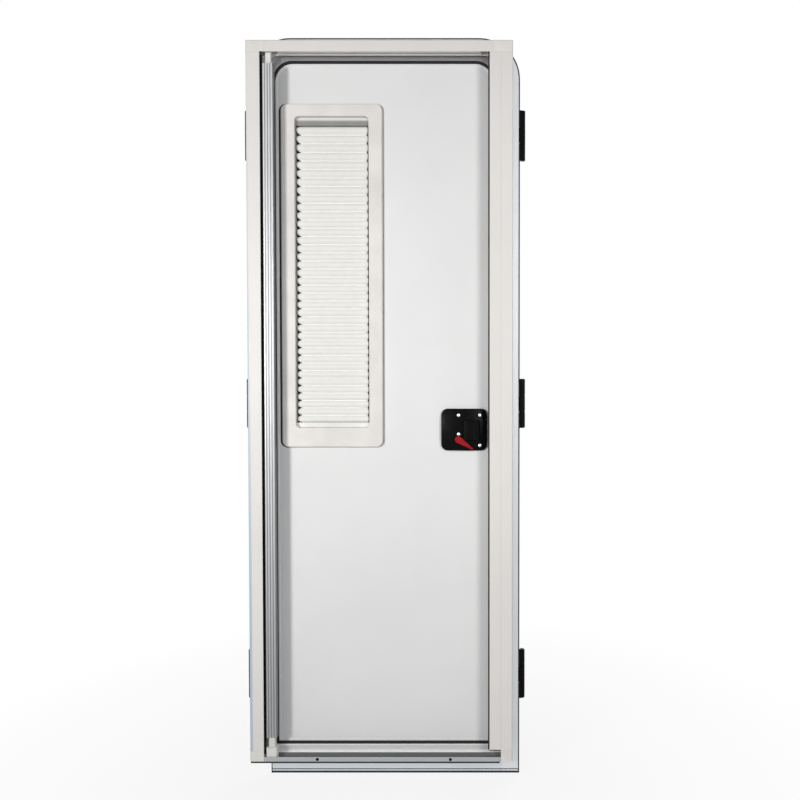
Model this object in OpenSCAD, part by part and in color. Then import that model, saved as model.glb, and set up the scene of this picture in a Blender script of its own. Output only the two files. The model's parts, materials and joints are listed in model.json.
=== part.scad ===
// Caravan entrance door set, seen from the inside of the vehicle.
// A framed leaf with a blind window and a push-paddle lock swings outwards on
// three strap hinges. A pleated fly screen on a pull bar slides in its own
// frame on the room side. X runs to the right as seen from inside, Y runs
// outwards and Z runs up. The origin lies on the wall side of the sill flange.

/* [Outer frame] */
// Width over the outer flange
frame_w = 664; // [600:2:760]
// Height over the outer flange
frame_h = 1820; // [1600:10:2000]
// Thickness of the flange
flange_t = 2.5; // [2:0.5:4]
// Reach of the flange from the leaf pocket to its outer edge
flange_reach = 44; // [40:1:60]
// Radius of the two upper corners of the flange
flange_corner_r = 100; // [70:5:110]
// Height of the sill's flange face
sill_flange_h = 36; // [30:1:50]
// Height of the pocket floor over the lower edge of the flange
sill_h = 63; // [50:1:80]
// Thickness of the vehicle's wall
wall_t = 27; // [22:1:40]
// Wall thickness of the frame's aluminium section
section_t = 2.5; // [2:0.5:3]
// Width of the raised rib round the leaf
rib_w = 16; // [12:1:20]
// Height of the raised rib over the wall side of the flange
rib_h = 15; // [10:1:15]
// Reach of the stop lip from the pocket wall
lip_reach = 17; // [15:1:20]
// Distance of the stop lip's room face from the wall side of the flange
lip_y = 16; // [14:1:18]
// Radius of the upper corners of the leaf pocket
pocket_r = 65; // [55:5:80]

/* [Screen frame] */
// How much narrower the screen frame is than the flange
trim_less_w = 24; // [8:2:60]
// How much lower the screen frame is than the flange
trim_less_h = 80; // [70:2:140]
// Height of the screen frame's lower edge over the flange's lower edge
trim_raise = 54; // [44:1:60]
// Sideways shift of the screen frame from the middle of the flange
trim_shift = -7; // [-12:1:0]
// Depth of the screen frame
trim_d = 25; // [22:1:30]
// Width of the left jamb that stores the pleats
jamb_left_w = 35; // [30:1:40]
// Width of the right jamb
jamb_right_w = 28; // [24:1:32]
// Width of the catch profile beside the right jamb
catch_w = 28; // [22:1:32]
// Height of the head rail
head_h = 28.5; // [25:0.5:32]
// Height of the bottom track
track_h = 11; // [9:1:14]
// Sheet thickness of the screen frame
trim_t = 2; // [1.5:0.5:3]
// Radius of the left jamb's outer front edge
jamb_r = 8; // [4:1:10]
// Radius of the other front edges of the screen frame
edge_r = 3; // [2.5:0.5:5]
// Length of the moulded corner pieces along the head
corner_l = 46; // [40:1:60]
// Height of the moulded piece at the lower left corner
corner_low_h = 25; // [20:1:40]
// Height of the catch profile's lower end over the lower edge
catch_raise = 29; // [22:1:40]
// Distance from a corner of the head to the slotted guide strip
guide_inset = 76; // [60:1:90]

/* [Fly screen] */
// Width of the pull bar
bar_w = 26; // [22:1:32]
// Depth of the pull bar
bar_d = 18; // [14:1:18]
// Gap between the jamb and the parked pull bar
park_gap = 5; // [5:1:8]
// Height of the moulded shoes at the ends of the bar
shoe_h = 46; // [40:1:55]
// Number of folds in the parked pleats
fold_count = 12; // [8:1:16]
// Play of a shoe or of the bar in its rail, on each side
shoe_play = 0.5; // [0.3:0.1:0.6]
// Width of the flutes in the pull bar's front
flute_w = 2.6; // [2:0.2:4]

/* [Leaf] */
// Clearance between the leaf and its pocket
leaf_gap = 5; // [5:0.5:6]
// Distance from the flange plane in to the leaf's room face
leaf_in = 7; // [6:1:8]
// Distance from the flange plane out to the leaf's outer face
leaf_out = 20; // [20:1:24]
// Thickness of the leaf's skins
skin_t = 1.2; // [1:0.1:2]
// Width of the rubber seal
seal_w = 12; // [10:1:14]
// Width of the seal that shows inside the stop lip
seal_show = 5; // [3:1:6]
// Play between the closed seal and the stop lip
seal_play = 0.5; // [0.3:0.1:1]

/* [Window] */
// Width of the window's inner frame
window_w = 249; // [200:1:280]
// Height of the window's inner frame
window_h = 838; // [600:1:900]
// Distance of the inner frame from the seal at the hinge side
window_margin = 13; // [6:1:30]
// Distance of the inner frame's upper edge below the stop lip
window_drop = 103; // [90:1:160]
// Width of the frame's stiles and of its head
window_border = 34; // [28:1:40]
// Width of the frame's lower rail
window_low = 48; // [40:1:60]
// Corner radius of the inner frame
window_r = 16; // [10:1:24]
// Height of the inner frame over the leaf's room face
window_proud = 8; // [6:1:8]
// Number of pleats in the blind
pleat_count = 37; // [25:1:45]
// Depth of the blind's pleats
pleat_d = 9; // [7:1:9]
// Height of the blind's head rail
blind_head_h = 20; // [16:1:26]

/* [Lock] */
// Width of the inner lock case
lock_w = 113; // [100:1:115]
// Height of the inner lock case
lock_h = 103; // [94:1:112]
// Depth of the inner lock case
lock_d = 16; // [14:1:16]
// Distance of the lock case from the seal at the lock side
lock_margin = 14.5; // [10:0.5:20]
// Height of the middle of the lock over the flange's lower edge
lock_raise = 861; // [820:1:900]
// Width of the push paddle
paddle_w = 41; // [36:1:46]
// Height of the push paddle
paddle_h = 47; // [40:1:50]
// Length of the red snib lever from its pivot to its tip
snib_l = 43; // [36:1:46]
// Radius of the crowned faces of the lock cases
dome_r = 230; // [200:10:400]

/* [Hinges] */
// Distance of the top hinge below the flange's upper edge
hinge_drop = 235; // [200:1:280]
// Height of the middle hinge over the middle of the screw row
hinge_mid_rise = 2; // [-60:1:60]
// Height of the bottom hinge over the flange's lower edge
hinge_low = 248; // [200:1:300]
// Length of a hinge
hinge_l = 122; // [100:1:130]
// Length of the middle knuckle
knuckle_l = 39; // [34:1:42]
// Radius of the knuckles
knuckle_r = 7; // [6:0.5:7]
// Radius of the hinge pin
pin_r = 3; // [2.5:0.5:4]
// Depth of the notch in the flange edge at the middle knuckle
notch_d = 3; // [2:0.5:4]
// Length of the strap on the leaf from the hinge's axis
strap_l = 90; // [70:1:100]

/* [Flange screws] */
// Number of screws on each side
hole_count = 6; // [5:1:8]
// Height of the lowest screw over the flange's lower edge
hole_margin_low = 108; // [90:1:130]
// Distance of the highest screw below the flange's upper edge
hole_margin_top = 82; // [70:1:100]
// Radius of a screw hole
hole_r = 2.4; // [2:0.1:3]
// Distance of the screw row from the flange's side edge
hole_inset = 22; // [18:1:26]

/* [Hidden] */
$fn = 64;

half_w = frame_w / 2;
frame_low = -sill_flange_h / 2;
frame_top = frame_low + frame_h;
pocket_x = half_w - flange_reach;
pocket_top = frame_top - flange_reach;
pocket_low = frame_low + sill_h;
lip_x = pocket_x - lip_reach;
lip_top = pocket_top - lip_reach;
lip_low = pocket_low + lip_reach;
head_split = pocket_top - pocket_r;
tread_h = 15;

trim_w = frame_w - trim_less_w;
trim_h = frame_h - trim_less_h;
trim_left = trim_shift - trim_w / 2;
trim_right = trim_shift + trim_w / 2;
trim_low = frame_low + trim_raise;
trim_top = trim_low + trim_h;
trim_back = -wall_t;
trim_front = trim_back - trim_d;
head_low = trim_top - head_h;
track_top = trim_low + track_h;
channel_in = trim_d - 2 * trim_t;
jamb_edge = trim_left + jamb_left_w;
catch_right = trim_right - jamb_right_w;
catch_left = catch_right - catch_w;
catch_low = trim_low + catch_raise;

bar_left = jamb_edge + park_gap;
bar_right = bar_left + bar_w;
bar_front = trim_front + trim_t + shoe_play;
bar_low = track_top + shoe_h;
bar_top = head_low - shoe_h + 20;
shoe_mid_x = bar_left + bar_w / 2;
shoe_mid_y = trim_front + trim_d / 2;
neck_d = 6;

leaf_x = pocket_x - leaf_gap;
leaf_top = pocket_top - leaf_gap;
leaf_low = pocket_low + leaf_gap;
leaf_r = pocket_r - leaf_gap;
seal_in_x = lip_x - seal_show;
seal_in_r = pocket_r - lip_reach - seal_show;
seal_t = lip_y - section_t - leaf_in - seal_play;
bead_w = 4;
bead_t = 1.5;

window_x = window_margin + window_w / 2 - seal_in_x;
window_top_z = lip_top - window_drop;
window_low_z = window_top_z - window_h;
pane_left = window_x - window_w / 2 + window_border;
pane_right = window_x + window_w / 2 - window_border;
pane_low = window_low_z + window_low;
pane_top = window_top_z - window_border + 4;
collar_t = 4;
pane_t = 4;
pane_y = leaf_out - 8;
blind_y = -5;
blind_gap = 0.3;
blind_rail_h = 12;

lock_x = seal_in_x - lock_margin - lock_w / 2;
lock_z = frame_low + lock_raise;
case_front = -leaf_in - lock_d;
outer_case_d = 9;
paddle_x = lock_x + 18;
paddle_z = lock_z - 2;
paddle_gap = 1.5;
recess_d = 14;
snib_x = lock_x - 14;
snib_z = lock_z - 24;
snib_t = 3.2;
snib_back = 0.5;
snib_pin_r = 3;
paddle_sink = 1;
screw_spots = [[-13.5, 35.5], [38.5, 35.5], [-13.5, -10.5], [38.5, -38.5]];
screw_head_r = 4.6;
screw_sink = 1.2;
snib_angle = 33;
paddle_pin_r = 1.5;
paddle_pin_y = 4;
paddle_pivot_x = paddle_x + paddle_w / 2 - 3;

knuckle_x = half_w + knuckle_r;
knuckle_y = flange_t + knuckle_r - 0.5;
knuckle_play = 0.5;
hinge_plate_t = 3.5;
strap_t = 4;
hinge_screw_r = 2.3;
hinge_sink_r = 4.4;
hole_x = half_w - hole_inset;
hole_first = frame_low + hole_margin_low;
hole_last = frame_top - hole_margin_top;
hole_pitch = (hole_last - hole_first) / (hole_count - 1);
hinge_top_z = frame_top - hinge_drop;
hinge_mid_z = (hole_first + hole_last) / 2 + hinge_mid_rise;
hinge_low_z = frame_low + hinge_low;

frame_color = [0.80, 0.82, 0.85];
trim_color = [0.89, 0.86, 0.82];
bar_color = [0.84, 0.85, 0.87];
leaf_color = [0.88, 0.88, 0.87];
black_color = [0.07, 0.07, 0.08];
blind_color = [0.93, 0.91, 0.88];
red_color = [0.80, 0.10, 0.08];
steel_color = [0.70, 0.71, 0.72];
glass_color = [0.35, 0.38, 0.40, 0.6];

// A flat shape in the plane of the door, from depth y0 out to depth y1
module upright(y0, y1) {
    translate([0, y1, 0])
        rotate([90, 0, 0])
            linear_extrude(y1 - y0)
                children();
}

// An opening's outline with two round upper corners
module arch(half, low, top, r) {
    translate([-half, low])
        square([2 * half, top - r - low]);
    translate([r - half, low])
        square([2 * (half - r), top - low]);
    for (side = [-1, 1])
        translate([side * (half - r), top - r])
            circle(r, $fn = 96);
}

// A rectangle with four round corners, from its left, lower, right and upper edges
module round_box(left, low, right, top, r) {
    translate([left + r, low])
        square([right - left - 2 * r, top - low]);
    translate([left, low + r])
        square([right - left, top - low - 2 * r]);
    for (x = [left + r, right - r])
        for (z = [low + r, top - r])
            translate([x, z])
                circle(r);
}

// A block from one corner to the opposite one
module block(from, to) {
    translate(from)
        cube(to - from);
}

// A flat shape in the plane across the door, y to the right and z up, run along X
module across(x0, x1) {
    translate([x0, 0, 0])
        rotate([90, 0, 90])
            linear_extrude(x1 - x0)
                children();
}

// A rectangle whose corners at the lower side have their own radii and whose upper corners are square
module half_round_box(left, low, right, top, r_left, r_right) {
    mid = (left + right) / 2;
    translate([left, low + r_left])
        square([mid - left, top - low - r_left]);
    translate([left + r_left, low])
        square([mid - left - r_left, r_left + 1]);
    translate([left + r_left, low + r_left])
        circle(r_left);
    translate([mid, low + r_right])
        square([right - mid, top - low - r_right]);
    translate([mid, low])
        square([right - r_right - mid, r_right + 1]);
    translate([right - r_right, low + r_right])
        circle(r_right);
}

// The frame's section: x is the distance out from the pocket wall, y is the depth
module frame_section() {
    round_r = 5;
    difference() {
        union() {
            translate([0, -wall_t])
                square([section_t, wall_t + 1]);
            square([rib_w, rib_h - round_r]);
            square([rib_w - round_r, rib_h]);
            translate([rib_w - round_r, rib_h - round_r])
                circle(round_r);
            translate([-lip_reach, -lip_y])
                square([lip_reach + 1, section_t]);
        }
        translate([section_t, section_t])
            square([rib_w - 2 * section_t, rib_h - 2 * section_t]);
    }
}

// The pocket wall, rib and lip of one upright member
module jamb_run(low, top) {
    translate([pocket_x, 0, low])
        linear_extrude(top - low)
            frame_section();
}

// The flange with its notches and screw holes, between two heights
module flange_band(low, top) {
    difference() {
        intersection() {
            upright(0, flange_t)
                difference() {
                    arch(half_w, frame_low, frame_top, flange_corner_r);
                    arch(pocket_x + 1, frame_low - 1, pocket_top + 1, pocket_r + 1);
                }
            block([0, -1, low], [half_w + 1, flange_t + 1, top]);
        }
        for (z = [hinge_top_z, hinge_mid_z, hinge_low_z])
            block([half_w - notch_d, -1, z - knuckle_l / 2],
                  [half_w + 1, flange_t + 1, z + knuckle_l / 2]);
        for (i = [0 : hole_count - 1])
            translate([hole_x, -1, hole_first + i * hole_pitch])
                rotate([-90, 0, 0])
                    cylinder(r = hole_r, h = flange_t + 2, $fn = 32);
    }
}

module frame_head() {
    color(frame_color) {
        for (side = [0, 1])
            mirror([side, 0, 0]) {
                flange_band(head_split, frame_top + 1);
                translate([pocket_x - pocket_r, 0, head_split])
                    rotate([-90, 0, 0])
                        rotate([0, 0, -90])
                            rotate_extrude(angle = 90, $fn = 96)
                                translate([pocket_r, 0])
                                    frame_section();
            }
        translate([pocket_x - pocket_r, 0, pocket_top])
            rotate([0, -90, 0])
                linear_extrude(2 * (pocket_x - pocket_r))
                    frame_section();
    }
}

// The room that the sill takes between the jambs, and the foot of the pocket wall that ends on the tread
module sill_space() {
    block([0, -wall_t - 1, frame_low - 1], [pocket_x, rib_h + 1, pocket_low]);
    block([0, -wall_t - 1, frame_low - 1], [pocket_x + section_t, 0, pocket_low - tread_h]);
}

module frame_jamb_left() {
    color(frame_color)
        mirror([1, 0, 0])
            difference() {
                union() {
                    flange_band(trim_low, head_split);
                    jamb_run(trim_low, head_split);
                }
                sill_space();
            }
}

module frame_jamb_right() {
    color(frame_color)
        difference() {
            union() {
                flange_band(frame_low, head_split);
                jamb_run(frame_low, head_split);
            }
            sill_space();
            keeper_space();
        }
}

// The cut in the right jamb that the keeper fills
module keeper_space() {
    keeper_h = 90;
    block([pocket_x, -10, lock_z - keeper_h / 2], [pocket_x + section_t, 11, lock_z + keeper_h / 2]);
}

// The keeper plate with its mouth and two screw holes
module lock_keeper() {
    mouth_h = 34;
    screw_reach = 34;
    color(steel_color)
        difference() {
            keeper_space();
            block([pocket_x - 1, -2, lock_z - mouth_h / 2],
                  [pocket_x + section_t + 1, 8, lock_z + mouth_h / 2]);
            for (side = [-1, 1])
                translate([pocket_x - 1, 2, lock_z + side * screw_reach])
                    rotate([0, 90, 0])
                        cylinder(r = hinge_screw_r, h = section_t + 2, $fn = 32);
        }
}

// The sill's section: y outwards and z up, with a hollow tread, a hollow rib and the stop lip
module sill_section() {
    nose_r = 4;
    groove_w = 1.4;
    groove_d = 0.8;
    lip_tip = section_t / 2;
    difference() {
        union() {
            translate([0, frame_low])
                square([flange_t, pocket_low - frame_low]);
            translate([trim_back, pocket_low - tread_h])
                square([-trim_back, tread_h]);
            translate([0, pocket_low - rib_w - tread_h / 2])
                square([rib_h, rib_w + tread_h / 2 - nose_r]);
            translate([0, pocket_low - nose_r - 1])
                square([rib_h - nose_r, nose_r + 1]);
            translate([rib_h - nose_r, pocket_low - nose_r])
                circle(nose_r);
            translate([-lip_y, pocket_low - 1])
                square([section_t, lip_low - pocket_low + 1 - lip_tip]);
            translate([lip_tip - lip_y, lip_low - lip_tip])
                circle(lip_tip, $fn = 32);
        }
        translate([trim_back + section_t, pocket_low - tread_h + section_t])
            square([-trim_back - section_t, tread_h - 2 * section_t]);
        translate([section_t, pocket_low - rib_w - tread_h / 2 + section_t])
            square([rib_h - 2 * section_t, rib_w + tread_h / 2 - 2 * section_t]);
        for (y = [trim_back + 2.6 : 3 : -lip_y - 1])
            translate([y, pocket_low - groove_d])
                square([groove_w, groove_d + 1]);
    }
}

module frame_sill() {
    color(frame_color)
        difference() {
            across(-pocket_x, pocket_x)
                sill_section();
            for (side = [-1, 1])
                translate([side * (lip_x + pocket_x) / 2, 0, 0])
                    block([-(pocket_x - lip_x) / 2, -lip_y - 1, pocket_low],
                          [(pocket_x - lip_x) / 2, section_t - lip_y + 1, lip_low + 1]);
        }
}

// A moulded plate on the flange, from one side to the other, with two countersunk screw holes
module hinge_plate(from_x, to_x, screw_x) {
    plate_r = 4;
    screw_z = hinge_l / 2 - 14;
    difference() {
        upright(flange_t, flange_t + hinge_plate_t)
            round_box(from_x, -hinge_l / 2, to_x, hinge_l / 2, plate_r);
        for (side = [-1, 1])
            translate([screw_x, flange_t, side * screw_z])
                rotate([-90, 0, 0]) {
                    translate([0, 0, -1])
                        cylinder(r = hinge_screw_r, h = hinge_plate_t + 2, $fn = 32);
                    translate([0, 0, hinge_plate_t - 2])
                        cylinder(r1 = hinge_screw_r, r2 = hinge_sink_r + 0.1, h = 2.1, $fn = 32);
                }
    }
}

// The fixed half of a hinge: its plate, its two outer knuckles and the pin
module hinge_base(z) {
    end_l = (hinge_l - knuckle_l) / 2;
    cap_h = 1.5;
    translate([0, 0, z])
        color(black_color) {
            difference() {
                hinge_plate(-knuckle_x, -pocket_x - rib_w, -half_w + 15);
                block([-knuckle_x - 1, flange_t - 1, -knuckle_l / 2],
                      [-half_w + notch_d, flange_t + hinge_plate_t + 1, knuckle_l / 2]);
            }
            for (side = [-1, 1]) {
                low = side > 0 ? knuckle_l / 2 : cap_h - hinge_l / 2;
                translate([-knuckle_x, knuckle_y, low])
                    cylinder(r = knuckle_r, h = end_l - cap_h);
                translate([-knuckle_x, knuckle_y, side > 0 ? hinge_l / 2 - cap_h - 1 : -hinge_l / 2])
                    cylinder(r = knuckle_r - cap_h, h = cap_h + 1);
            }
            translate([-knuckle_x, knuckle_y, -hinge_l / 2])
                cylinder(r = pin_r, h = hinge_l, $fn = 48);
        }
}

module hinge_base_top() {
    hinge_base(hinge_top_z);
}

module hinge_base_middle() {
    hinge_base(hinge_mid_z);
}

module hinge_base_bottom() {
    hinge_base(hinge_low_z);
}

// The moulded block on the lock side's flange edge, with the hinges' outline
module edge_block(z) {
    end_l = (hinge_l - knuckle_l) / 2;
    cap_h = 1.5;
    groove_w = 1;
    translate([0, 0, z])
        color(black_color) {
            hinge_plate(pocket_x + rib_w, knuckle_x, half_w - 15);
            translate([knuckle_x, knuckle_y, cap_h - hinge_l / 2])
                cylinder(r = knuckle_r, h = end_l - cap_h - groove_w);
            translate([knuckle_x, knuckle_y, -knuckle_l / 2])
                cylinder(r = knuckle_r, h = knuckle_l);
            translate([knuckle_x, knuckle_y, knuckle_l / 2 + groove_w])
                cylinder(r = knuckle_r, h = end_l - cap_h - groove_w);
            translate([knuckle_x, knuckle_y, -hinge_l / 2])
                cylinder(r = knuckle_r - cap_h, h = hinge_l);
            block([half_w - notch_d, 0, -knuckle_l / 2], [knuckle_x, knuckle_y, knuckle_l / 2]);
        }
}

module edge_block_top() {
    edge_block(hinge_top_z);
}

module edge_block_middle() {
    edge_block(hinge_mid_z);
}

module edge_block_bottom() {
    edge_block(hinge_low_z);
}

// The moving half of a hinge: the middle knuckle, its arm and the round-ended strap on the leaf
module hinge_strap(z) {
    knuckle_h = knuckle_l - 2 * knuckle_play;
    arm_r = 5;
    end_r = knuckle_h / 2;
    tip_x = strap_l - knuckle_x;
    color(black_color)
        difference() {
            union() {
                translate([-knuckle_x, knuckle_y, z - knuckle_h / 2])
                    cylinder(r = knuckle_r, h = knuckle_h);
                translate([0, 0, z - knuckle_h / 2])
                    linear_extrude(knuckle_h)
                        translate([-knuckle_x, 0]) {
                            translate([-knuckle_r, knuckle_y])
                                square([2 * knuckle_r, leaf_out + strap_t - arm_r - knuckle_y]);
                            translate([arm_r - knuckle_r, leaf_out + strap_t - arm_r])
                                circle(arm_r);
                            translate([arm_r - knuckle_r, leaf_out])
                                square([2 * knuckle_r - arm_r, strap_t]);
                        }
                upright(leaf_out, leaf_out + strap_t) {
                    translate([-knuckle_x, z - knuckle_h / 2])
                        square([tip_x - end_r + knuckle_x, knuckle_h]);
                    translate([tip_x - end_r, z])
                        circle(end_r);
                }
            }
            translate([-knuckle_x, knuckle_y, z - knuckle_h / 2 - 1])
                cylinder(r = pin_r + 0.3, h = knuckle_h + 2, $fn = 48);
            for (reach = [10, 24])
                translate([tip_x - reach, leaf_out, z])
                    rotate([-90, 0, 0]) {
                        translate([0, 0, -1])
                            cylinder(r = hinge_screw_r, h = strap_t + 2, $fn = 32);
                        translate([0, 0, strap_t - 2])
                            cylinder(r1 = hinge_screw_r, r2 = hinge_sink_r + 0.1, h = 2.1, $fn = 32);
                    }
        }
}

module hinge_strap_top() {
    hinge_strap(hinge_top_z);
}

module hinge_strap_middle() {
    hinge_strap(hinge_mid_z);
}

module hinge_strap_bottom() {
    hinge_strap(hinge_low_z);
}

// A channel along Z with round front edges and its mouth towards +X
module side_channel(left, right, low, top) {
    inner_r = jamb_r - trim_t;
    translate([0, 0, low])
        linear_extrude(top - low)
            difference() {
                half_round_box(left, trim_front, right, trim_back, jamb_r, 1);
                half_round_box(left + trim_t, trim_front + trim_t, right + 4, trim_back - trim_t, inner_r, 1);
            }
}

module screen_jamb_left() {
    color(trim_color)
        side_channel(trim_left, jamb_edge, trim_low + corner_low_h, head_low);
}

module screen_jamb_right() {
    color(trim_color)
        translate([0, 0, catch_low])
            linear_extrude(head_low - catch_low)
                difference() {
                    half_round_box(catch_right, trim_front, trim_right, trim_back, 1, edge_r);
                    half_round_box(catch_right + trim_t, trim_front + trim_t, trim_right - trim_t, trim_back - trim_t,
                                   0.5, edge_r - trim_t);
                }
}

module screen_catch() {
    color(trim_color)
        translate([0, 0, catch_low])
            linear_extrude(head_low - catch_low)
                difference() {
                    half_round_box(catch_left, trim_front, catch_right, trim_back, 1, 1);
                    half_round_box(catch_left - 4, trim_front + trim_t, catch_right - trim_t, trim_back - trim_t, 1, 0.5);
                }
}

// The head rail's section, y outwards and z up, with a round upper front edge
module head_section(grow) {
    r = edge_r + 2 - grow;
    back = trim_back - grow;
    front = trim_front + grow;
    top = trim_top - grow;
    low = head_low - (grow > 0 ? 1 : 0);
    translate([front, low])
        square([back - front, top - low - r]);
    translate([front + r, low])
        square([back - front - r, top - low]);
    translate([front + r, top - r])
        circle(r);
}

module screen_head_rail() {
    color(trim_color)
        difference() {
            across(trim_left + corner_l, trim_right - corner_l)
                head_section(0);
            across(trim_left, trim_right)
                head_section(trim_t);
        }
}

// Two lips that half close the mouth of the head rail and guide the shoe's neck
module head_guide_strip() {
    lip_t = 2.5;
    slot_w = neck_d + 2 * shoe_play;
    color(trim_color)
        difference() {
            block([trim_left + guide_inset, trim_front + trim_t, head_low],
                  [trim_right - guide_inset, trim_back - trim_t, head_low + lip_t]);
            block([trim_left, shoe_mid_y - slot_w / 2, head_low - 1],
                  [trim_right, shoe_mid_y + slot_w / 2, head_low + lip_t + 1]);
        }
}

module screen_track() {
    color(trim_color)
        difference() {
            block([jamb_edge, trim_front, trim_low], [catch_right, trim_back, track_top]);
            block([trim_left, trim_front + trim_t, trim_low + trim_t],
                  [trim_right, trim_back - trim_t, track_top + 1]);
        }
}

// An upper corner piece, round at its outer edges, with the head rail's channel running on through it
module corner_top(left, right, mouth_left, mouth_right, r_left, r_right) {
    color(trim_color)
        difference() {
            intersection() {
                across(left, right)
                    head_section(0);
                translate([0, 0, head_low - 1])
                    linear_extrude(head_h + 2)
                        half_round_box(left, trim_front, right, trim_back, r_left, r_right);
            }
            across(mouth_left, mouth_right)
                head_section(trim_t);
        }
}

module corner_top_left() {
    corner_top(trim_left, trim_left + corner_l, trim_left + trim_t + 2, trim_left + corner_l + 1, jamb_r - 1, 0.5);
}

module corner_top_right() {
    corner_top(trim_right - corner_l, trim_right, trim_right - corner_l - 1, trim_right - trim_t - 2, 0.5, edge_r);
}

// The lower left corner piece: the track's height is solid and the jamb's channel goes on above it
module corner_bottom_left() {
    color(trim_color)
        difference() {
            translate([0, 0, trim_low])
                linear_extrude(corner_low_h)
                    half_round_box(trim_left, trim_front, jamb_edge, trim_back, jamb_r - 1, 1);
            translate([0, 0, track_top])
                linear_extrude(corner_low_h)
                    half_round_box(trim_left + trim_t, trim_front + trim_t, jamb_edge + 4, trim_back - trim_t,
                                   jamb_r - trim_t - 1, 1);
        }
}

// The lower right corner piece, moulded as a shell that is open towards the wall
module corner_bottom_right() {
    color(trim_color)
        difference() {
            translate([0, 0, trim_low])
                linear_extrude(catch_low - trim_low)
                    half_round_box(catch_right, trim_front, trim_right, trim_back, 1, edge_r);
            translate([0, 0, trim_low + trim_t])
                linear_extrude(catch_low - trim_low - 2 * trim_t)
                    half_round_box(catch_right + trim_t, trim_front + trim_t, trim_right - trim_t, trim_back + 1,
                                   0.5, edge_r - trim_t);
        }
}

// The parked screen: a stack of narrow folds in the left jamb
module pleated_screen() {
    fold_w = (jamb_left_w - trim_t - 4) / fold_count;
    fold_d = channel_in - 7;
    film = 0.5;
    left = trim_left + trim_t + 1;
    mid = shoe_mid_y;
    low = track_top + 1;
    front = [for (i = [0 : 2 * fold_count])
        [left + i * fold_w / 2, mid + (i % 2 == 0 ? -1 : 1) * (fold_d - film) / 2 - film / 2]];
    back = [for (i = [2 * fold_count : -1 : 0])
        [left + i * fold_w / 2, mid + (i % 2 == 0 ? -1 : 1) * (fold_d - film) / 2 + film / 2 + film]];
    color(black_color)
        translate([0, 0, low])
            linear_extrude(head_low - low - blind_gap)
                polygon(concat(front, back));
}

// The hollow pull bar with round edges and three flutes down its front
module pull_bar() {
    wall = 3;
    bar_r = 3.5;
    color(bar_color)
        translate([0, 0, bar_low])
            linear_extrude(bar_top - bar_low)
                difference() {
                    round_box(bar_left, bar_front, bar_right, bar_front + bar_d, bar_r);
                    round_box(bar_left + wall, bar_front + wall, bar_right - wall, bar_front + bar_d - wall, 1);
                    for (i = [1 : 3])
                        translate([bar_left + i * bar_w / 4, bar_front])
                            circle(flute_w / 2, $fn = 32);
                }
}

module bar_shoe_top() {
    neck_w = 14;
    runner_d = channel_in - 2 * shoe_play;
    runner_h = 12;
    neck_top = head_low + 6;
    color(trim_color) {
        translate([0, 0, bar_top])
            linear_extrude(neck_top - bar_top)
                round_box(shoe_mid_x - neck_w / 2, shoe_mid_y - neck_d / 2, shoe_mid_x + neck_w / 2,
                          shoe_mid_y + neck_d / 2, 2);
        translate([0, 0, neck_top])
            linear_extrude(runner_h)
                round_box(bar_left, shoe_mid_y - runner_d / 2, bar_right, shoe_mid_y + runner_d / 2, 3);
    }
}

module bar_shoe_bottom() {
    neck_w = 16;
    base_h = 22;
    runner_d = channel_in - 2 * shoe_play;
    color(trim_color) {
        translate([0, 0, trim_low + trim_t + shoe_play])
            linear_extrude(track_top + base_h - trim_low - trim_t - shoe_play)
                round_box(bar_left, shoe_mid_y - runner_d / 2, bar_right, shoe_mid_y + runner_d / 2, 3);
        translate([0, 0, track_top + base_h])
            linear_extrude(bar_low - track_top - base_h)
                round_box(shoe_mid_x - neck_w / 2, shoe_mid_y - neck_d, shoe_mid_x + neck_w / 2,
                          shoe_mid_y + neck_d, 3);
    }
}

// The leaf's outline, moved in on every side by an inset
module leaf_outline(inset) {
    arch(leaf_x - inset, leaf_low + inset, leaf_top - inset, leaf_r - inset);
}

// The hole for the window's collar and pane
module window_hole(grow) {
    round_box(pane_left - grow, pane_low - grow, pane_right + grow, pane_top + grow, 10 + grow);
}

// The hole for the works of the lock
module lock_hole() {
    translate([lock_x - 40, lock_z - 36])
        square([80, 72]);
}

// The part of the window's hole between two heights, clear of the collar
module window_slice(low, top) {
    intersection() {
        window_hole(-blind_gap);
        translate([pane_left, low])
            square([pane_right - pane_left, top - low]);
    }
}

module leaf_core() {
    color(leaf_color)
        upright(skin_t - leaf_in, leaf_out - skin_t)
            difference() {
                leaf_outline(0);
                window_hole(collar_t);
                lock_hole();
            }
}

module leaf_inner_skin() {
    color(leaf_color) {
        upright(-leaf_in, skin_t - leaf_in)
            difference() {
                leaf_outline(0);
                window_hole(collar_t);
                lock_hole();
            }
        upright(-leaf_in - bead_t, -leaf_in)
            difference() {
                arch(seal_in_x, lip_low + seal_show, lip_top - seal_show, seal_in_r);
                arch(seal_in_x - bead_w, lip_low + seal_show + bead_w, lip_top - seal_show - bead_w, seal_in_r - bead_w);
            }
    }
}

module leaf_outer_skin() {
    color(leaf_color)
        upright(leaf_out - skin_t, leaf_out)
            difference() {
                leaf_outline(0);
                window_hole(collar_t);
                lock_hole();
            }
}

// The bulb seal: a wide foot with a narrower bulb on it
module leaf_seal() {
    bulb_in = 2;
    color(black_color) {
        upright(-leaf_in - seal_t / 2, -leaf_in)
            seal_ring(0);
        upright(-leaf_in - seal_t, -leaf_in - seal_t / 2)
            seal_ring(bulb_in);
    }
}

// The seal's ring, moved in on both sides by an inset
module seal_ring(inset) {
    out = seal_w - inset;
    difference() {
        arch(seal_in_x + out, lip_low + seal_show - out, lip_top - seal_show + out, seal_in_r + out);
        arch(seal_in_x + inset, lip_low + seal_show - inset, lip_top - seal_show + inset, seal_in_r + inset);
    }
}

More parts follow.
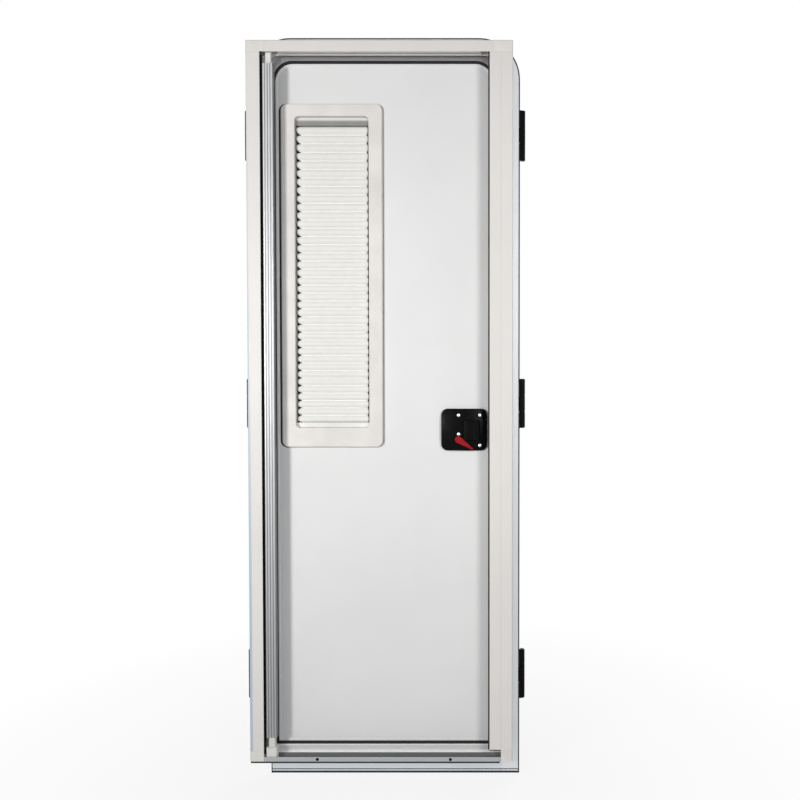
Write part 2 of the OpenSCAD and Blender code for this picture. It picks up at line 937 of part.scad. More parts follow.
// The inner frame: a stepped moulding on the skin and a collar through the leaf
module window_inner_frame() {
    step_t = 2.5;
    step_in = 2;
    face = -leaf_in - window_proud;
    color(trim_color) {
        upright(face, face + step_t)
            window_ring(step_in);
        upright(face + step_t, -leaf_in)
            window_ring(0);
        upright(-leaf_in, pane_y)
            difference() {
                window_hole(collar_t);
                window_hole(0);
            }
    }
}

// The inner frame's ring, moved in from its outer edge by an inset
module window_ring(inset) {
    difference() {
        round_box(window_x - window_w / 2 + inset, window_low_z + inset, window_x + window_w / 2 - inset,
                  window_top_z - inset, window_r - inset);
        window_hole(0);
    }
}

module window_pane() {
    color(glass_color)
        upright(pane_y, pane_y + pane_t)
            window_hole(collar_t);
}

// The outer frame: a stepped rim on the outer skin and a flange that holds the pane
module window_outer_frame() {
    reach = 22;
    step_t = 3;
    step_in = 2.5;
    hold_in = 6;
    rim_t = 6;
    color(black_color) {
        upright(leaf_out, leaf_out + step_t)
            outer_ring(reach, hold_in);
        upright(leaf_out + step_t, leaf_out + rim_t)
            outer_ring(reach - step_in, hold_in);
        upright(pane_y + pane_t, leaf_out)
            outer_ring(collar_t, hold_in);
    }
}

// A ring round the pane, from past its edge by reach to inside its edge by hold_in
module outer_ring(reach, hold_in) {
    difference() {
        window_hole(reach);
        window_hole(-hold_in);
    }
}

module blind_head() {
    color([0.35, 0.36, 0.37])
        upright(blind_y, blind_y + pleat_d + 2)
            window_slice(pane_top - blind_head_h, pane_top);
}

module window_blind() {
    low = pane_low + blind_rail_h;
    top = pane_top - blind_head_h;
    step = (top - low) / pleat_count / 2;
    film = 0.8;
    front = [for (i = [0 : 2 * pleat_count]) [blind_y + (i % 2) * (pleat_d - film), low + i * step]];
    back = [for (i = [2 * pleat_count : -1 : 0]) [blind_y + film + (i % 2) * (pleat_d - film), low + i * step]];
    color(blind_color)
        translate([pane_left + blind_gap, 0, 0])
            rotate([90, 0, 90])
                linear_extrude(pane_right - pane_left - 2 * blind_gap)
                    polygon(concat(front, back));
}

module blind_rail() {
    color(trim_color)
        upright(blind_y, blind_y + pleat_d)
            window_slice(pane_low, pane_low + blind_rail_h);
}

// A square with bulging sides and round corners, on the lock's middle
module pillow(w, h, bulge, r) {
    side_r = (h * h / 4 + bulge * bulge) / (2 * bulge);
    end_r = (w * w / 4 + bulge * bulge) / (2 * bulge);
    translate([lock_x, lock_z])
        intersection() {
            round_box(-w / 2, -h / 2, w / 2, h / 2, r);
            for (side = [-1, 1]) {
                translate([side * (w / 2 - side_r), 0])
                    circle(side_r, $fn = 180);
                translate([0, side * (h / 2 - end_r)])
                    circle(end_r, $fn = 180);
            }
        }
}

// How far a crowned case's face falls back at a distance from its middle
function crown(dx, dz) = (dx * dx + dz * dz) / (2 * dome_r);

// The ball that crowns the inner case
module inner_dome() {
    translate([lock_x, case_front + dome_r, lock_z])
        sphere(dome_r, $fn = 240);
}

// The inner case: a crowned pillow with a recess for the paddle and sunk screw seats
module lock_inner_case() {
    recess_r = 5;
    color(black_color)
        difference() {
            intersection() {
                upright(case_front - 1, -leaf_in)
                    pillow(lock_w, lock_h, 5, 16);
                inner_dome();
            }
            upright(case_front - 1, case_front + recess_d)
                round_box(paddle_x - paddle_w / 2 - paddle_gap, paddle_z - paddle_h / 2 - paddle_gap,
                          paddle_x + paddle_w / 2 + paddle_gap, paddle_z + paddle_h / 2 + paddle_gap, recess_r);
            paddle_pin(0.3, 3.5);
            translate([snib_x, case_front - 1, snib_z])
                rotate([-90, 0, 0])
                    cylinder(r = snib_pin_r + 0.3, h = 6.5);
            for (spot = screw_spots)
                translate([lock_x + spot[0], case_front - 1, lock_z + spot[1]])
                    rotate([-90, 0, 0])
                        cylinder(r = screw_head_r, h = 1 + crown(spot[0], spot[1]) + screw_sink, $fn = 48);
        }
}

// The pin that the paddle turns on, grown by a play and reaching past each end
module paddle_pin(play, reach) {
    translate([paddle_pivot_x, case_front + paddle_pin_y, paddle_z - paddle_h / 2 - reach])
        cylinder(r = paddle_pin_r + play, h = paddle_h + 2 * reach);
}

// The push paddle: a hollowed plate on a barrel and its pin
module lock_paddle() {
    plate_t = 3.2;
    barrel_r = 3;
    hollow_r = 70;
    hollow_d = 1.6;
    face = case_front + paddle_sink;
    color(black_color) {
        difference() {
            upright(face, face + plate_t)
                round_box(paddle_x - paddle_w / 2, paddle_z - paddle_h / 2, paddle_pivot_x + 2, paddle_z + paddle_h / 2, 4);
            translate([paddle_x - 3, face + hollow_d - hollow_r, paddle_z - paddle_h])
                cylinder(r = hollow_r, h = 2 * paddle_h, $fn = 360);
        }
        translate([paddle_pivot_x, case_front + paddle_pin_y, paddle_z - paddle_h / 2])
            cylinder(r = barrel_r, h = paddle_h);
        paddle_pin(0, 3);
    }
}

// The red lever: a round hub that runs out to a narrow tip, on its pin
module lock_snib() {
    hub_r = 8.5;
    tip_r = 2;
    reach = snib_l - tip_r;
    lean = asin((hub_r - tip_r) / reach);
    back = snib_back;
    color(red_color)
        translate([snib_x, case_front, snib_z])
            rotate([0, snib_angle, 0]) {
                upright(back - snib_t, back) {
                    circle(hub_r, $fn = 96);
                    translate([reach, 0])
                        circle(tip_r, $fn = 48);
                    polygon([
                        [hub_r * sin(lean), hub_r * cos(lean)],
                        [reach + tip_r * sin(lean), tip_r * cos(lean)],
                        [reach + tip_r * sin(lean), -tip_r * cos(lean)],
                        [hub_r * sin(lean), -hub_r * cos(lean)]
                    ]);
                }
                translate([0, back - 1, 0])
                    rotate([-90, 0, 0])
                        cylinder(r = snib_pin_r, h = 5);
            }
}

// The outer case: a crowned pillow with a round-cornered hand recess
module lock_outer_case() {
    color(black_color)
        difference() {
            intersection() {
                upright(leaf_out, leaf_out + outer_case_d + 1)
                    pillow(lock_w, lock_h, 5, 16);
                outer_dome();
            }
            upright(leaf_out + 3, leaf_out + outer_case_d + 1)
                round_box(lock_x - 39, lock_z - 25, lock_x + 39, lock_z + 35, 8);
        }
}

// The ball that crowns the outer case, which is flatter than the inner one
module outer_dome() {
    flat_r = 2 * dome_r;
    translate([lock_x, leaf_out + outer_case_d - flat_r, lock_z])
        sphere(flat_r, $fn = 240);
}

// The outer flap: it hangs in the upper part of the recess and stands a little proud
module outer_handle() {
    flap_r = 30;
    color(black_color)
        intersection() {
            upright(leaf_out + 3, leaf_out + 12)
                round_box(lock_x - 36, lock_z + 4, lock_x + 36, lock_z + 32, 6);
            translate([lock_x - 40, leaf_out + 12 - flap_r, lock_z + 16])
                rotate([0, 90, 0])
                    cylinder(r = flap_r, h = 80, $fn = 240);
        }
}

// The key cylinder with its collar and key slot
module lock_cylinder() {
    color(steel_color)
        translate([lock_x, leaf_out + 3, lock_z - 12])
            rotate([-90, 0, 0])
                difference() {
                    union() {
                        cylinder(r = 10, h = 3.5);
                        cylinder(r = 7.5, h = 5.5);
                    }
                    translate([-1, -4, 2.5])
                        cube([2, 8, 4]);
                }
}

frame_head();
frame_jamb_left();
frame_jamb_right();
frame_sill();
hinge_base_top();
hinge_base_middle();
hinge_base_bottom();
edge_block_top();
edge_block_middle();
edge_block_bottom();
lock_keeper();
screen_jamb_left();
screen_jamb_right();
screen_catch();
screen_head_rail();
head_guide_strip();
screen_track();
corner_top_left();
corner_top_right();
corner_bottom_left();
corner_bottom_right();
pleated_screen();
pull_bar();
bar_shoe_top();
bar_shoe_bottom();
leaf_core();
leaf_inner_skin();
leaf_outer_skin();
leaf_seal();
window_inner_frame();
window_outer_frame();
window_pane();
blind_head();
window_blind();
blind_rail();
lock_inner_case();
lock_outer_case();
outer_handle();
lock_cylinder();
lock_paddle();
lock_snib();
hinge_strap_top();
hinge_strap_middle();
hinge_strap_bottom();
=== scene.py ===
"""Looks of a caravan entrance door with a sliding fly screen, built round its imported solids.

Lengths are metres in the part's own frame: X to the right as seen from the room, Y outwards and
Z up, with the origin on the wall side of the sill flange.
"""

import json
import logging
import math
from dataclasses import dataclass
from enum import Enum
from typing import Callable
from typing import Optional
from typing import Sequence
from typing import Union

import bmesh
import bpy
from mathutils import Matrix
from mathutils import Vector

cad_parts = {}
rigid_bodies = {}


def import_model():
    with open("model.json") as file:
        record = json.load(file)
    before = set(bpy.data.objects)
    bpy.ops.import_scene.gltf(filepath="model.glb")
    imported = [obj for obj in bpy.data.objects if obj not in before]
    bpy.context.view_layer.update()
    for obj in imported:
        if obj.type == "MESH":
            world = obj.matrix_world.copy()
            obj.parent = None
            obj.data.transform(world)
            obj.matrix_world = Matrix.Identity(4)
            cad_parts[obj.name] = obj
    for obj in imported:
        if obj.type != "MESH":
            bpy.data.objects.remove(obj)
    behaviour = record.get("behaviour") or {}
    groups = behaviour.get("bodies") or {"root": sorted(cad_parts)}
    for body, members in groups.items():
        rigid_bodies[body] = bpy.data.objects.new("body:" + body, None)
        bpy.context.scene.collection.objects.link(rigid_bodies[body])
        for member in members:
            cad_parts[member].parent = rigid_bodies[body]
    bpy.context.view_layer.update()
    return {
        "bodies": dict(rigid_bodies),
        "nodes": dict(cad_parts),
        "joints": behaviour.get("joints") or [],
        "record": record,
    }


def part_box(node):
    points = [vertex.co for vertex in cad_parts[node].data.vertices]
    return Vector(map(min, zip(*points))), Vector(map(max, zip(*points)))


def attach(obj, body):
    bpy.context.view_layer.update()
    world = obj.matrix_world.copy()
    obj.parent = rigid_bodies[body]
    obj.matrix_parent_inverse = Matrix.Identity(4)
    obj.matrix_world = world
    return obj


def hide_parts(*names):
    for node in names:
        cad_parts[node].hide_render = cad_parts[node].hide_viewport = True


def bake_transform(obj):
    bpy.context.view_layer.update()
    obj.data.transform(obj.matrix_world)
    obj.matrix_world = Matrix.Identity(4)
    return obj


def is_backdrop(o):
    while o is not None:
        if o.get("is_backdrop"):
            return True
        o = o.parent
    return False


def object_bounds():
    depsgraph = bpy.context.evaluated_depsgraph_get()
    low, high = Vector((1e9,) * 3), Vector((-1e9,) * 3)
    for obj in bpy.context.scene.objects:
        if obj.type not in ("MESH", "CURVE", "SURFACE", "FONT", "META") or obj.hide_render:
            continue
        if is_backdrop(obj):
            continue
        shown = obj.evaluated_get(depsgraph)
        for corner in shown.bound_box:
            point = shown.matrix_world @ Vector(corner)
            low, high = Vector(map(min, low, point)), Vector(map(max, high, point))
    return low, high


LOG = logging.getLogger("entrance_door")
ROUND_SEGMENTS = 16
SAME_PLACE = 1e-6

Colour = tuple[float, float, float]
Point = tuple[float, float, float]
Socket = bpy.types.NodeSocket
Piece = bpy.types.Object
FaceTest = Callable[[Vector, Vector], bool]


class Way(Enum):
    """The direction that a drawn or brushed surface was worked in."""

    ALONG_X = (1.0, 60.0, 60.0)
    ALONG_Z = (60.0, 60.0, 1.0)
    ROUND = (30.0, 30.0, 30.0)


class Recipe:
    """A material being put together, with short calls for its nodes and links."""

    def __init__(self, name: str) -> None:
        """Starts a material with one principled surface.

        Args:
            name: The material's name.
        """
        self.material = bpy.data.materials.new(name)
        self.material.use_nodes = True
        tree = self.material.node_tree
        self.nodes = tree.nodes
        self.links = tree.links
        self.nodes.clear()
        self.output = self.nodes.new("ShaderNodeOutputMaterial")
        self.surface = self.nodes.new("ShaderNodeBsdfPrincipled")
        self.links.new(self.surface.outputs["BSDF"], self.output.inputs["Surface"])
        self.place = self.nodes.new("ShaderNodeTexCoord").outputs["Object"]

    def feed(self, socket: Socket, value: Union[Socket, float, Sequence[float]]) -> None:
        """Links a socket to another, or sets its own value.

        Args:
            socket: The input to fill.
            value: An output to link, or a number, colour or vector.
        """
        if isinstance(value, bpy.types.NodeSocket):
            self.links.new(value, socket)
            return
        if socket.type == "RGBA" and len(value) == 3:
            value = (*value, 1.0)
        socket.default_value = value

    def node(self, kind: str, output: str, **inputs: Union[Socket, float, Sequence[float]]) -> Socket:
        """Adds a node.

        Args:
            kind: The node's type.
            output: The name of the output that is wanted.
            inputs: Input names, with an underscore for each space, and their values.

        Returns:
            The wanted output.
        """
        made = self.nodes.new(kind)
        for name, value in inputs.items():
            self.feed(made.inputs[name.replace("_", " ")], value)
        return made.outputs[output]

    def shine(self, **inputs: Union[Socket, float, Sequence[float]]) -> None:
        """Sets inputs of the principled surface by name."""
        for name, value in inputs.items():
            self.feed(self.surface.inputs[name.replace("_", " ")], value)

    def noise(self, scale: float, detail: float = 2.0, way: Optional[Way] = None) -> Socket:
        """Adds a noise pattern on the object's own coordinates.

        Args:
            scale: Features a metre.
            detail: How many finer octaves it has.
            way: The direction that it is drawn out in, or none.

        Returns:
            The pattern's value.
        """
        where = self.place
        if way is not None:
            where = self.node("ShaderNodeMapping", "Vector", Vector=self.place, Scale=way.value)
        return self.node("ShaderNodeTexNoise", "Fac", Vector=where, Scale=scale, Detail=detail)

    def along(self, axis: str) -> Socket:
        """Returns the object's own coordinate on the axis "X", "Y" or "Z", in metres."""
        return self.node("ShaderNodeSeparateXYZ", axis, Vector=self.place)

    def times(self, first: Union[Socket, float], second: Union[Socket, float]) -> Socket:
        """Multiplies two values.

        Args:
            first: One of them.
            second: The other.

        Returns:
            Their product.
        """
        made = self.nodes.new("ShaderNodeMath")
        made.operation = "MULTIPLY"
        self.feed(made.inputs[0], first)
        self.feed(made.inputs[1], second)
        return made.outputs[0]

    def spread(
        self,
        source: Socket,
        low: float,
        high: float,
        start: float = 0.35,
        end: float = 0.65,
    ) -> Socket:
        """Maps a pattern's middle range onto new limits.

        Args:
            source: The pattern.
            low: The value at the start.
            high: The value at the end.
            start: The pattern's value that gives the low limit.
            end: The pattern's value that gives the high limit.

        Returns:
            The mapped value.
        """
        return self.node(
            "ShaderNodeMapRange",
            "Result",
            Value=source,
            From_Min=start,
            From_Max=end,
            To_Min=low,
            To_Max=high,
        )

    def mix(
        self,
        factor: Union[Socket, float],
        low: Union[Socket, Colour],
        high: Union[Socket, Colour],
    ) -> Socket:
        """Mixes two colours.

        Args:
            factor: The share of the second colour.
            low: The first colour.
            high: The second colour.

        Returns:
            The mixed colour.
        """
        made = self.nodes.new("ShaderNodeMix")
        made.data_type = "RGBA"
        fill, first, second, result = 0, 6, 7, 2
        self.feed(made.inputs[fill], factor)
        self.feed(made.inputs[first], low)
        self.feed(made.inputs[second], high)
        return made.outputs[result]

    def bump(
        self,
        height: Socket,
        depth: float,
        strength: float = 1.0,
        normal: Optional[Socket] = None,
    ) -> Socket:
        """Turns a pattern into relief.

        Args:
            height: The pattern.
            depth: How deep the relief is, in metres.
            strength: How much of it shows.
            normal: A relief that this one lies on.

        Returns:
            The normal.
        """
        inputs = {"Height": height, "Distance": depth, "Strength": strength}
        if normal is not None:
            inputs["Normal"] = normal
        return self.node("ShaderNodeBump", "Normal", **inputs)


def shade(colour: Colour, factor: float) -> Colour:
    """Returns a colour made darker or lighter by a factor."""
    red, green, blue = (min(1.0, part * factor) for part in colour)
    return (red, green, blue)


@dataclass(frozen=True)
class Span:
    """A ramp from 0 to 1 between two places on one of the object's axes."""

    axis: str
    start: float
    end: float

    def ramp(self, recipe: Recipe) -> Socket:
        """Returns the ramp's value."""
        return recipe.spread(recipe.along(self.axis), 0.0, 1.0, self.start, self.end)


@dataclass(frozen=True)
class Tint:
    """A second colour that a finish has where all of its spans are full."""

    colour: Colour
    spans: tuple[Span, ...]

    def lay(self, recipe: Recipe) -> None:
        """Lays the second colour over the recipe's own.

        Args:
            recipe: The material being put together.
        """
        tone = recipe.surface.inputs["Base Color"].links[0].from_socket
        share = self.spans[0].ramp(recipe)
        for span in self.spans[1:]:
            share = recipe.times(share, span.ramp(recipe))
        recipe.shine(Base_Color=recipe.mix(share, tone, self.colour))


@dataclass(frozen=True)
class Finish:
    """What every finish has: a name, a colour, a roughness and the tints laid over it."""

    name: str
    colour: Colour
    roughness: float
    tints: tuple[Tint, ...] = ()

    def material(self) -> bpy.types.Material:
        """Gives the material, made once and shared after that.

        Returns:
            The material.
        """
        label = f"{self.name}_finish"
        found = bpy.data.materials.get(label)
        if found is not None:
            return found
        recipe = Recipe(label)
        self.mix_in(recipe)
        for tint in self.tints:
            tint.lay(recipe)
        return recipe.material

    def mix_in(self, recipe: Recipe) -> None:
        """Fills the recipe, in the way of each kind of finish.

        Args:
            recipe: The material being put together.
        """
        raise NotImplementedError(self.name)

    def wear(self, piece: Piece) -> Piece:
        """Gives a piece this finish only.

        Args:
            piece: A mesh.

        Returns:
            The piece.
        """
        piece.data.materials.clear()
        piece.data.materials.append(self.material())
        return piece


@dataclass(frozen=True)
class Coating(Finish):
    """A sprayed coat on metal, with a faint orange peel and handling marks."""

    peel: float = 0.00005
    drift: float = 0.02
    coat: float = 0.1
    cloud_scale: float = 3.5
    speck_scale: float = 380.0
    rub_scale: float = 26.0
    peel_scale: float = 520.0
    wave_scale: float = 38.0

    def mix_in(self, recipe: Recipe) -> None:
        """Fills the recipe with the coat.

        Args:
            recipe: The material being put together.
        """
        cloud = recipe.noise(self.cloud_scale, 3.0)
        speck = recipe.noise(self.speck_scale, 1.0)
        tone = recipe.mix(
            recipe.spread(cloud, 0.0, 1.0),
            shade(self.colour, 1.0 - self.drift),
            shade(self.colour, 1.0 + self.drift),
        )
        tone = recipe.mix(recipe.spread(speck, 0.0, 0.25, 0.62, 0.8), tone, shade(self.colour, 0.9))
        rub = recipe.noise(self.rub_scale, 4.0)
        peel = recipe.noise(self.peel_scale, 2.0)
        wave = recipe.noise(self.wave_scale, 2.0)
        relief = recipe.bump(peel, self.peel, 0.6)
        recipe.shine(
            Base_Color=tone,
            Roughness=recipe.spread(rub, self.roughness - 0.05, self.roughness + 0.07),
            Coat_Weight=self.coat,
            Coat_Roughness=0.25,
            Normal=recipe.bump(wave, self.peel * 2.0, 0.35, relief),
        )


@dataclass(frozen=True)
class Moulding(Finish):
    """Moulded plastic with a fine eroded grain and faint flow marks."""

    grain: float = 0.00006
    pitch: float = 1400.0
    gloss: float = 0.5
    flow_scale: float = 12.0
    rub_scale: float = 70.0
    rub: float = 0.06

    def mix_in(self, recipe: Recipe) -> None:
        """Fills the recipe with the plastic.

        Args:
            recipe: The material being put together.
        """
        flow = recipe.noise(self.flow_scale, 3.0)
        pits = recipe.node("ShaderNodeTexVoronoi", "Distance", Vector=recipe.place, Scale=self.pitch)
        soft = recipe.noise(self.pitch * 0.5, 3.0)
        relief = recipe.bump(pits, self.grain, 0.5)
        worn = recipe.noise(self.rub_scale, 3.0)
        tone = recipe.mix(recipe.spread(flow, 0.0, 1.0), shade(self.colour, 0.94), shade(self.colour, 1.06))
        recipe.shine(
            Base_Color=tone,
            Roughness=recipe.spread(worn, self.roughness - self.rub, self.roughness + self.rub),
            Specular_IOR_Level=self.gloss,
            Normal=recipe.bump(soft, self.grain, 0.5, relief),
        )


@dataclass(frozen=True)
class DrawnMetal(Finish):
    """Bare or anodised metal with the fine lines of its drawing or brushing."""

    way: Way = Way.ALONG_Z
    metallic: float = 1.0
    lines: float = 0.00003
    strand_scale: float = 22.0
    cloud_scale: float = 7.0

    def mix_in(self, recipe: Recipe) -> None:
        """Fills the recipe with the metal.

        Args:
            recipe: The material being put together.
        """
        strands = recipe.noise(self.strand_scale, 4.0, self.way)
        cloud = recipe.noise(self.cloud_scale, 2.0)
        line = recipe.spread(strands, 0.0, 1.0)
        tone = recipe.mix(line, shade(self.colour, 0.97), shade(self.colour, 1.03))
        tone = recipe.mix(recipe.spread(cloud, 0.0, 0.2), tone, shade(self.colour, 0.93))
        recipe.shine(
            Base_Color=tone,
            Metallic=self.metallic,
            Roughness=recipe.spread(strands, self.roughness - 0.06, self.roughness + 0.1),
            Normal=recipe.bump(strands, self.lines, 0.4),
        )


@dataclass(frozen=True)
class Rubber(Finish):
    """Extruded rubber: matt, with a fine skin and a dusty bloom."""

    bloom_scale: float = 55.0
    skin_scale: float = 900.0
    skin_depth: float = 0.00005
    gloss: float = 0.35

    def mix_in(self, recipe: Recipe) -> None:
        """Fills the recipe with the rubber.

        Args:
            recipe: The material being put together.
        """
        bloom = recipe.noise(self.bloom_scale, 5.0)
        skin = recipe.noise(self.skin_scale, 2.0)
        recipe.shine(
            Base_Color=recipe.mix(recipe.spread(bloom, 0.0, 0.5), self.colour, shade(self.colour, 2.2)),
            Roughness=recipe.spread(bloom, self.roughness - 0.08, self.roughness + 0.08),
            Specular_IOR_Level=self.gloss,
            Normal=recipe.bump(skin, self.skin_depth, 0.5),
        )


@dataclass(frozen=True)
class Acrylic(Finish):
    """Tinted window acrylic, faintly wavy."""

    refraction: float = 1.49
    clearness: float = 0.85
    wave_scale: float = 6.0
    wave_depth: float = 0.0004
    scuff_scale: float = 30.0

    def mix_in(self, recipe: Recipe) -> None:
        """Fills the recipe with the pane.

        Args:
            recipe: The material being put together.
        """
        wave = recipe.noise(self.wave_scale, 1.0)
        scuff = recipe.noise(self.scuff_scale, 3.0)
        recipe.shine(
            Base_Color=recipe.mix(recipe.spread(wave, 0.0, 1.0), shade(self.colour, 0.95), self.colour),
            Roughness=recipe.spread(scuff, self.roughness, self.roughness + 0.03),
            IOR=self.refraction,
            Transmission_Weight=self.clearness,
            Normal=recipe.bump(wave, self.wave_depth, 0.15),
        )


@dataclass(frozen=True)
class Weave(Finish):
    """Plain-woven polyester of a pleated blind, on the piece's own unrolled map."""

    threads: float = 1500.0
    bands: float = 20.0
    thread_depth: float = 0.0001
    slub_scale: float = 60.0

    def mix_in(self, recipe: Recipe) -> None:
        """Fills the recipe with the cloth.

        Args:
            recipe: The material being put together.
        """
        chart = recipe.nodes.new("ShaderNodeUVMap")
        chart.uv_map = "cloth"
        where = chart.outputs["UV"]
        over = recipe.nodes.new("ShaderNodeTexWave")
        over.bands_direction = "X"
        under = recipe.nodes.new("ShaderNodeTexWave")
        under.bands_direction = "Y"
        for wave in (over, under):
            recipe.feed(wave.inputs["Vector"], where)
            recipe.feed(wave.inputs["Scale"], self.threads / self.bands)
        weft = over.outputs["Fac"]
        warp = under.outputs["Fac"]
        slub = recipe.noise(self.slub_scale, 4.0)
        relief = recipe.bump(weft, self.thread_depth, 0.4)
        thick = recipe.spread(slub, 0.0, 1.0)
        tone = recipe.mix(thick, shade(self.colour, 0.985), shade(self.colour, 1.015))
        recipe.shine(
            Base_Color=tone,
            Roughness=recipe.spread(slub, self.roughness - 0.05, self.roughness + 0.05),
            Sheen_Weight=0.15,
            Sheen_Roughness=0.5,
            Normal=recipe.bump(warp, self.thread_depth, 0.4, relief),
        )


@dataclass(frozen=True)
class Netting(Finish):
    """Fine fly mesh, see-through between its threads."""

    cover: float = 0.64
    thread_scale: float = 1100.0
    thread_depth: float = 0.0001
    cloud_scale: float = 25.0

    def mix_in(self, recipe: Recipe) -> None:
        """Fills the recipe with the net.

        Args:
            recipe: The material being put together.
        """
        threads = recipe.noise(self.thread_scale, 1.0)
        cloud = recipe.noise(self.cloud_scale, 2.0)
        recipe.shine(
            Base_Color=recipe.mix(recipe.spread(cloud, 0.0, 0.6), self.colour, shade(self.colour, 1.8)),
            Roughness=recipe.spread(cloud, self.roughness - 0.05, self.roughness + 0.05),
            Alpha=self.cover,
            Normal=recipe.bump(threads, self.thread_depth, 0.5),
        )


@dataclass(frozen=True)
class Palette:
    """All the finishes of the door."""

    cream_coat: Coating = Coating("cream_coat", (0.78, 0.755, 0.73), 0.42)
    jamb_coat: Coating = Coating(
        "jamb_coat",
        (0.78, 0.755, 0.73),
        0.42,
        tints=(Tint((0.46, 0.56, 0.66), (Span("X", -0.3175, -0.3195), Span("Z", 1.7, 0.4))),),
    )
    frame_coat: DrawnMetal = DrawnMetal("frame_coat", (0.73, 0.75, 0.78), 0.34, metallic=0.6)
    head_coat_and_shade: DrawnMetal = DrawnMetal(
        "head_coat_and_shade",
        (0.73, 0.75, 0.78),
        0.34,
        tints=(
            # painted shade: the head's room-side face is darker between the jambs, where the screen rail's
            # shadow falls
            Tint(
                (0.36, 0.355, 0.36),
                (Span("X", 0.300, 0.290), Span("X", -0.300, -0.290), Span("Y", 0.0, -0.002)),
            ),
        ),
        way=Way.ALONG_X,
        metallic=0.6,
    )
    sill_coat: DrawnMetal = DrawnMetal(
        "sill_coat",
        (0.68, 0.72, 0.76),
        0.36,
        tints=(Tint((0.84, 0.84, 0.835), (Span("Z", 0.028, 0.038),)),),
        way=Way.ALONG_X,
        metallic=0.4,
    )
    track_coat_and_shade: DrawnMetal = DrawnMetal(
        "track_coat_and_shade",
        (0.46, 0.48, 0.49),
        0.5,
        # painted shade: everything behind the track's front face, the inside of its channel, is darker
        tints=(Tint((0.17, 0.18, 0.185), (Span("Y", -0.0508, -0.0498),)),),
        way=Way.ALONG_X,
        metallic=0.05,
    )
    leaf_coat: Coating = Coating("leaf_coat", (0.80, 0.80, 0.80), 0.36, peel=0.00008)
    cream_plastic: Moulding = Moulding("cream_plastic", (0.78, 0.76, 0.725), 0.48)
    window_plastic: Moulding = Moulding("window_plastic", (0.765, 0.74, 0.715), 0.46)
    rail_plastic: Moulding = Moulding("rail_plastic", (0.80, 0.795, 0.765), 0.55)
    grey_plastic: Moulding = Moulding(
        # the blind head is dark grey, with a pale band along its top above 1.6 m
        "grey_plastic", (0.26, 0.26, 0.255), 0.5, (Tint((0.70, 0.69, 0.68), (Span("Z", 1.5975, 1.6025),)),)
    )
    black_plastic: Moulding = Moulding("black_plastic", (0.0022, 0.0022, 0.0026), 0.30, gloss=0.06)
    red_plastic: Moulding = Moulding("red_plastic", (0.34, 0.002, 0.008), 0.14, grain=0.00002, gloss=0.20)
    foam: Moulding = Moulding("foam_edge", (0.62, 0.61, 0.58), 0.7, grain=0.0002, pitch=500.0)
    bar_metal_and_shade: DrawnMetal = DrawnMetal(
        "bar_metal_and_shade",
        (0.56, 0.57, 0.58),
        0.36,
        tints=(
            # painted shade: the bar is darker towards the bottom
            Tint((0.36, 0.37, 0.38), (Span("Z", 0.9, 0.2),)),
            # painted shade: darker behind the front face, in the flutes and on the sides
            Tint((0.20, 0.205, 0.21), (Span("Y", -0.0494, -0.0480),)),
        ),
        metallic=0.5,
        lines=0.000008,
    )
    steel: DrawnMetal = DrawnMetal("steel", (0.85, 0.85, 0.85), 0.25, way=Way.ROUND)
    seal: Rubber = Rubber("seal_rubber", (0.010, 0.010, 0.011), 0.7)
    window_rubber_and_shade: Rubber = Rubber(
        # painted light and shade: the rubber stays black at the left, where the bar's shadow falls, and is
        # grey to the right
        "window_rubber_and_shade", (0.01, 0.01, 0.01), 0.7, (Tint((0.24, 0.24, 0.235), (Span("X", -0.235, -0.215),)),)
    )
    pane: Acrylic = Acrylic("tinted_pane", (0.07, 0.075, 0.08), 0.03)
    blind: Weave = Weave("blind_cloth", (0.82, 0.815, 0.785), 0.8)
    net: Netting = Netting("fly_net", (0.006, 0.006, 0.007), 0.85)


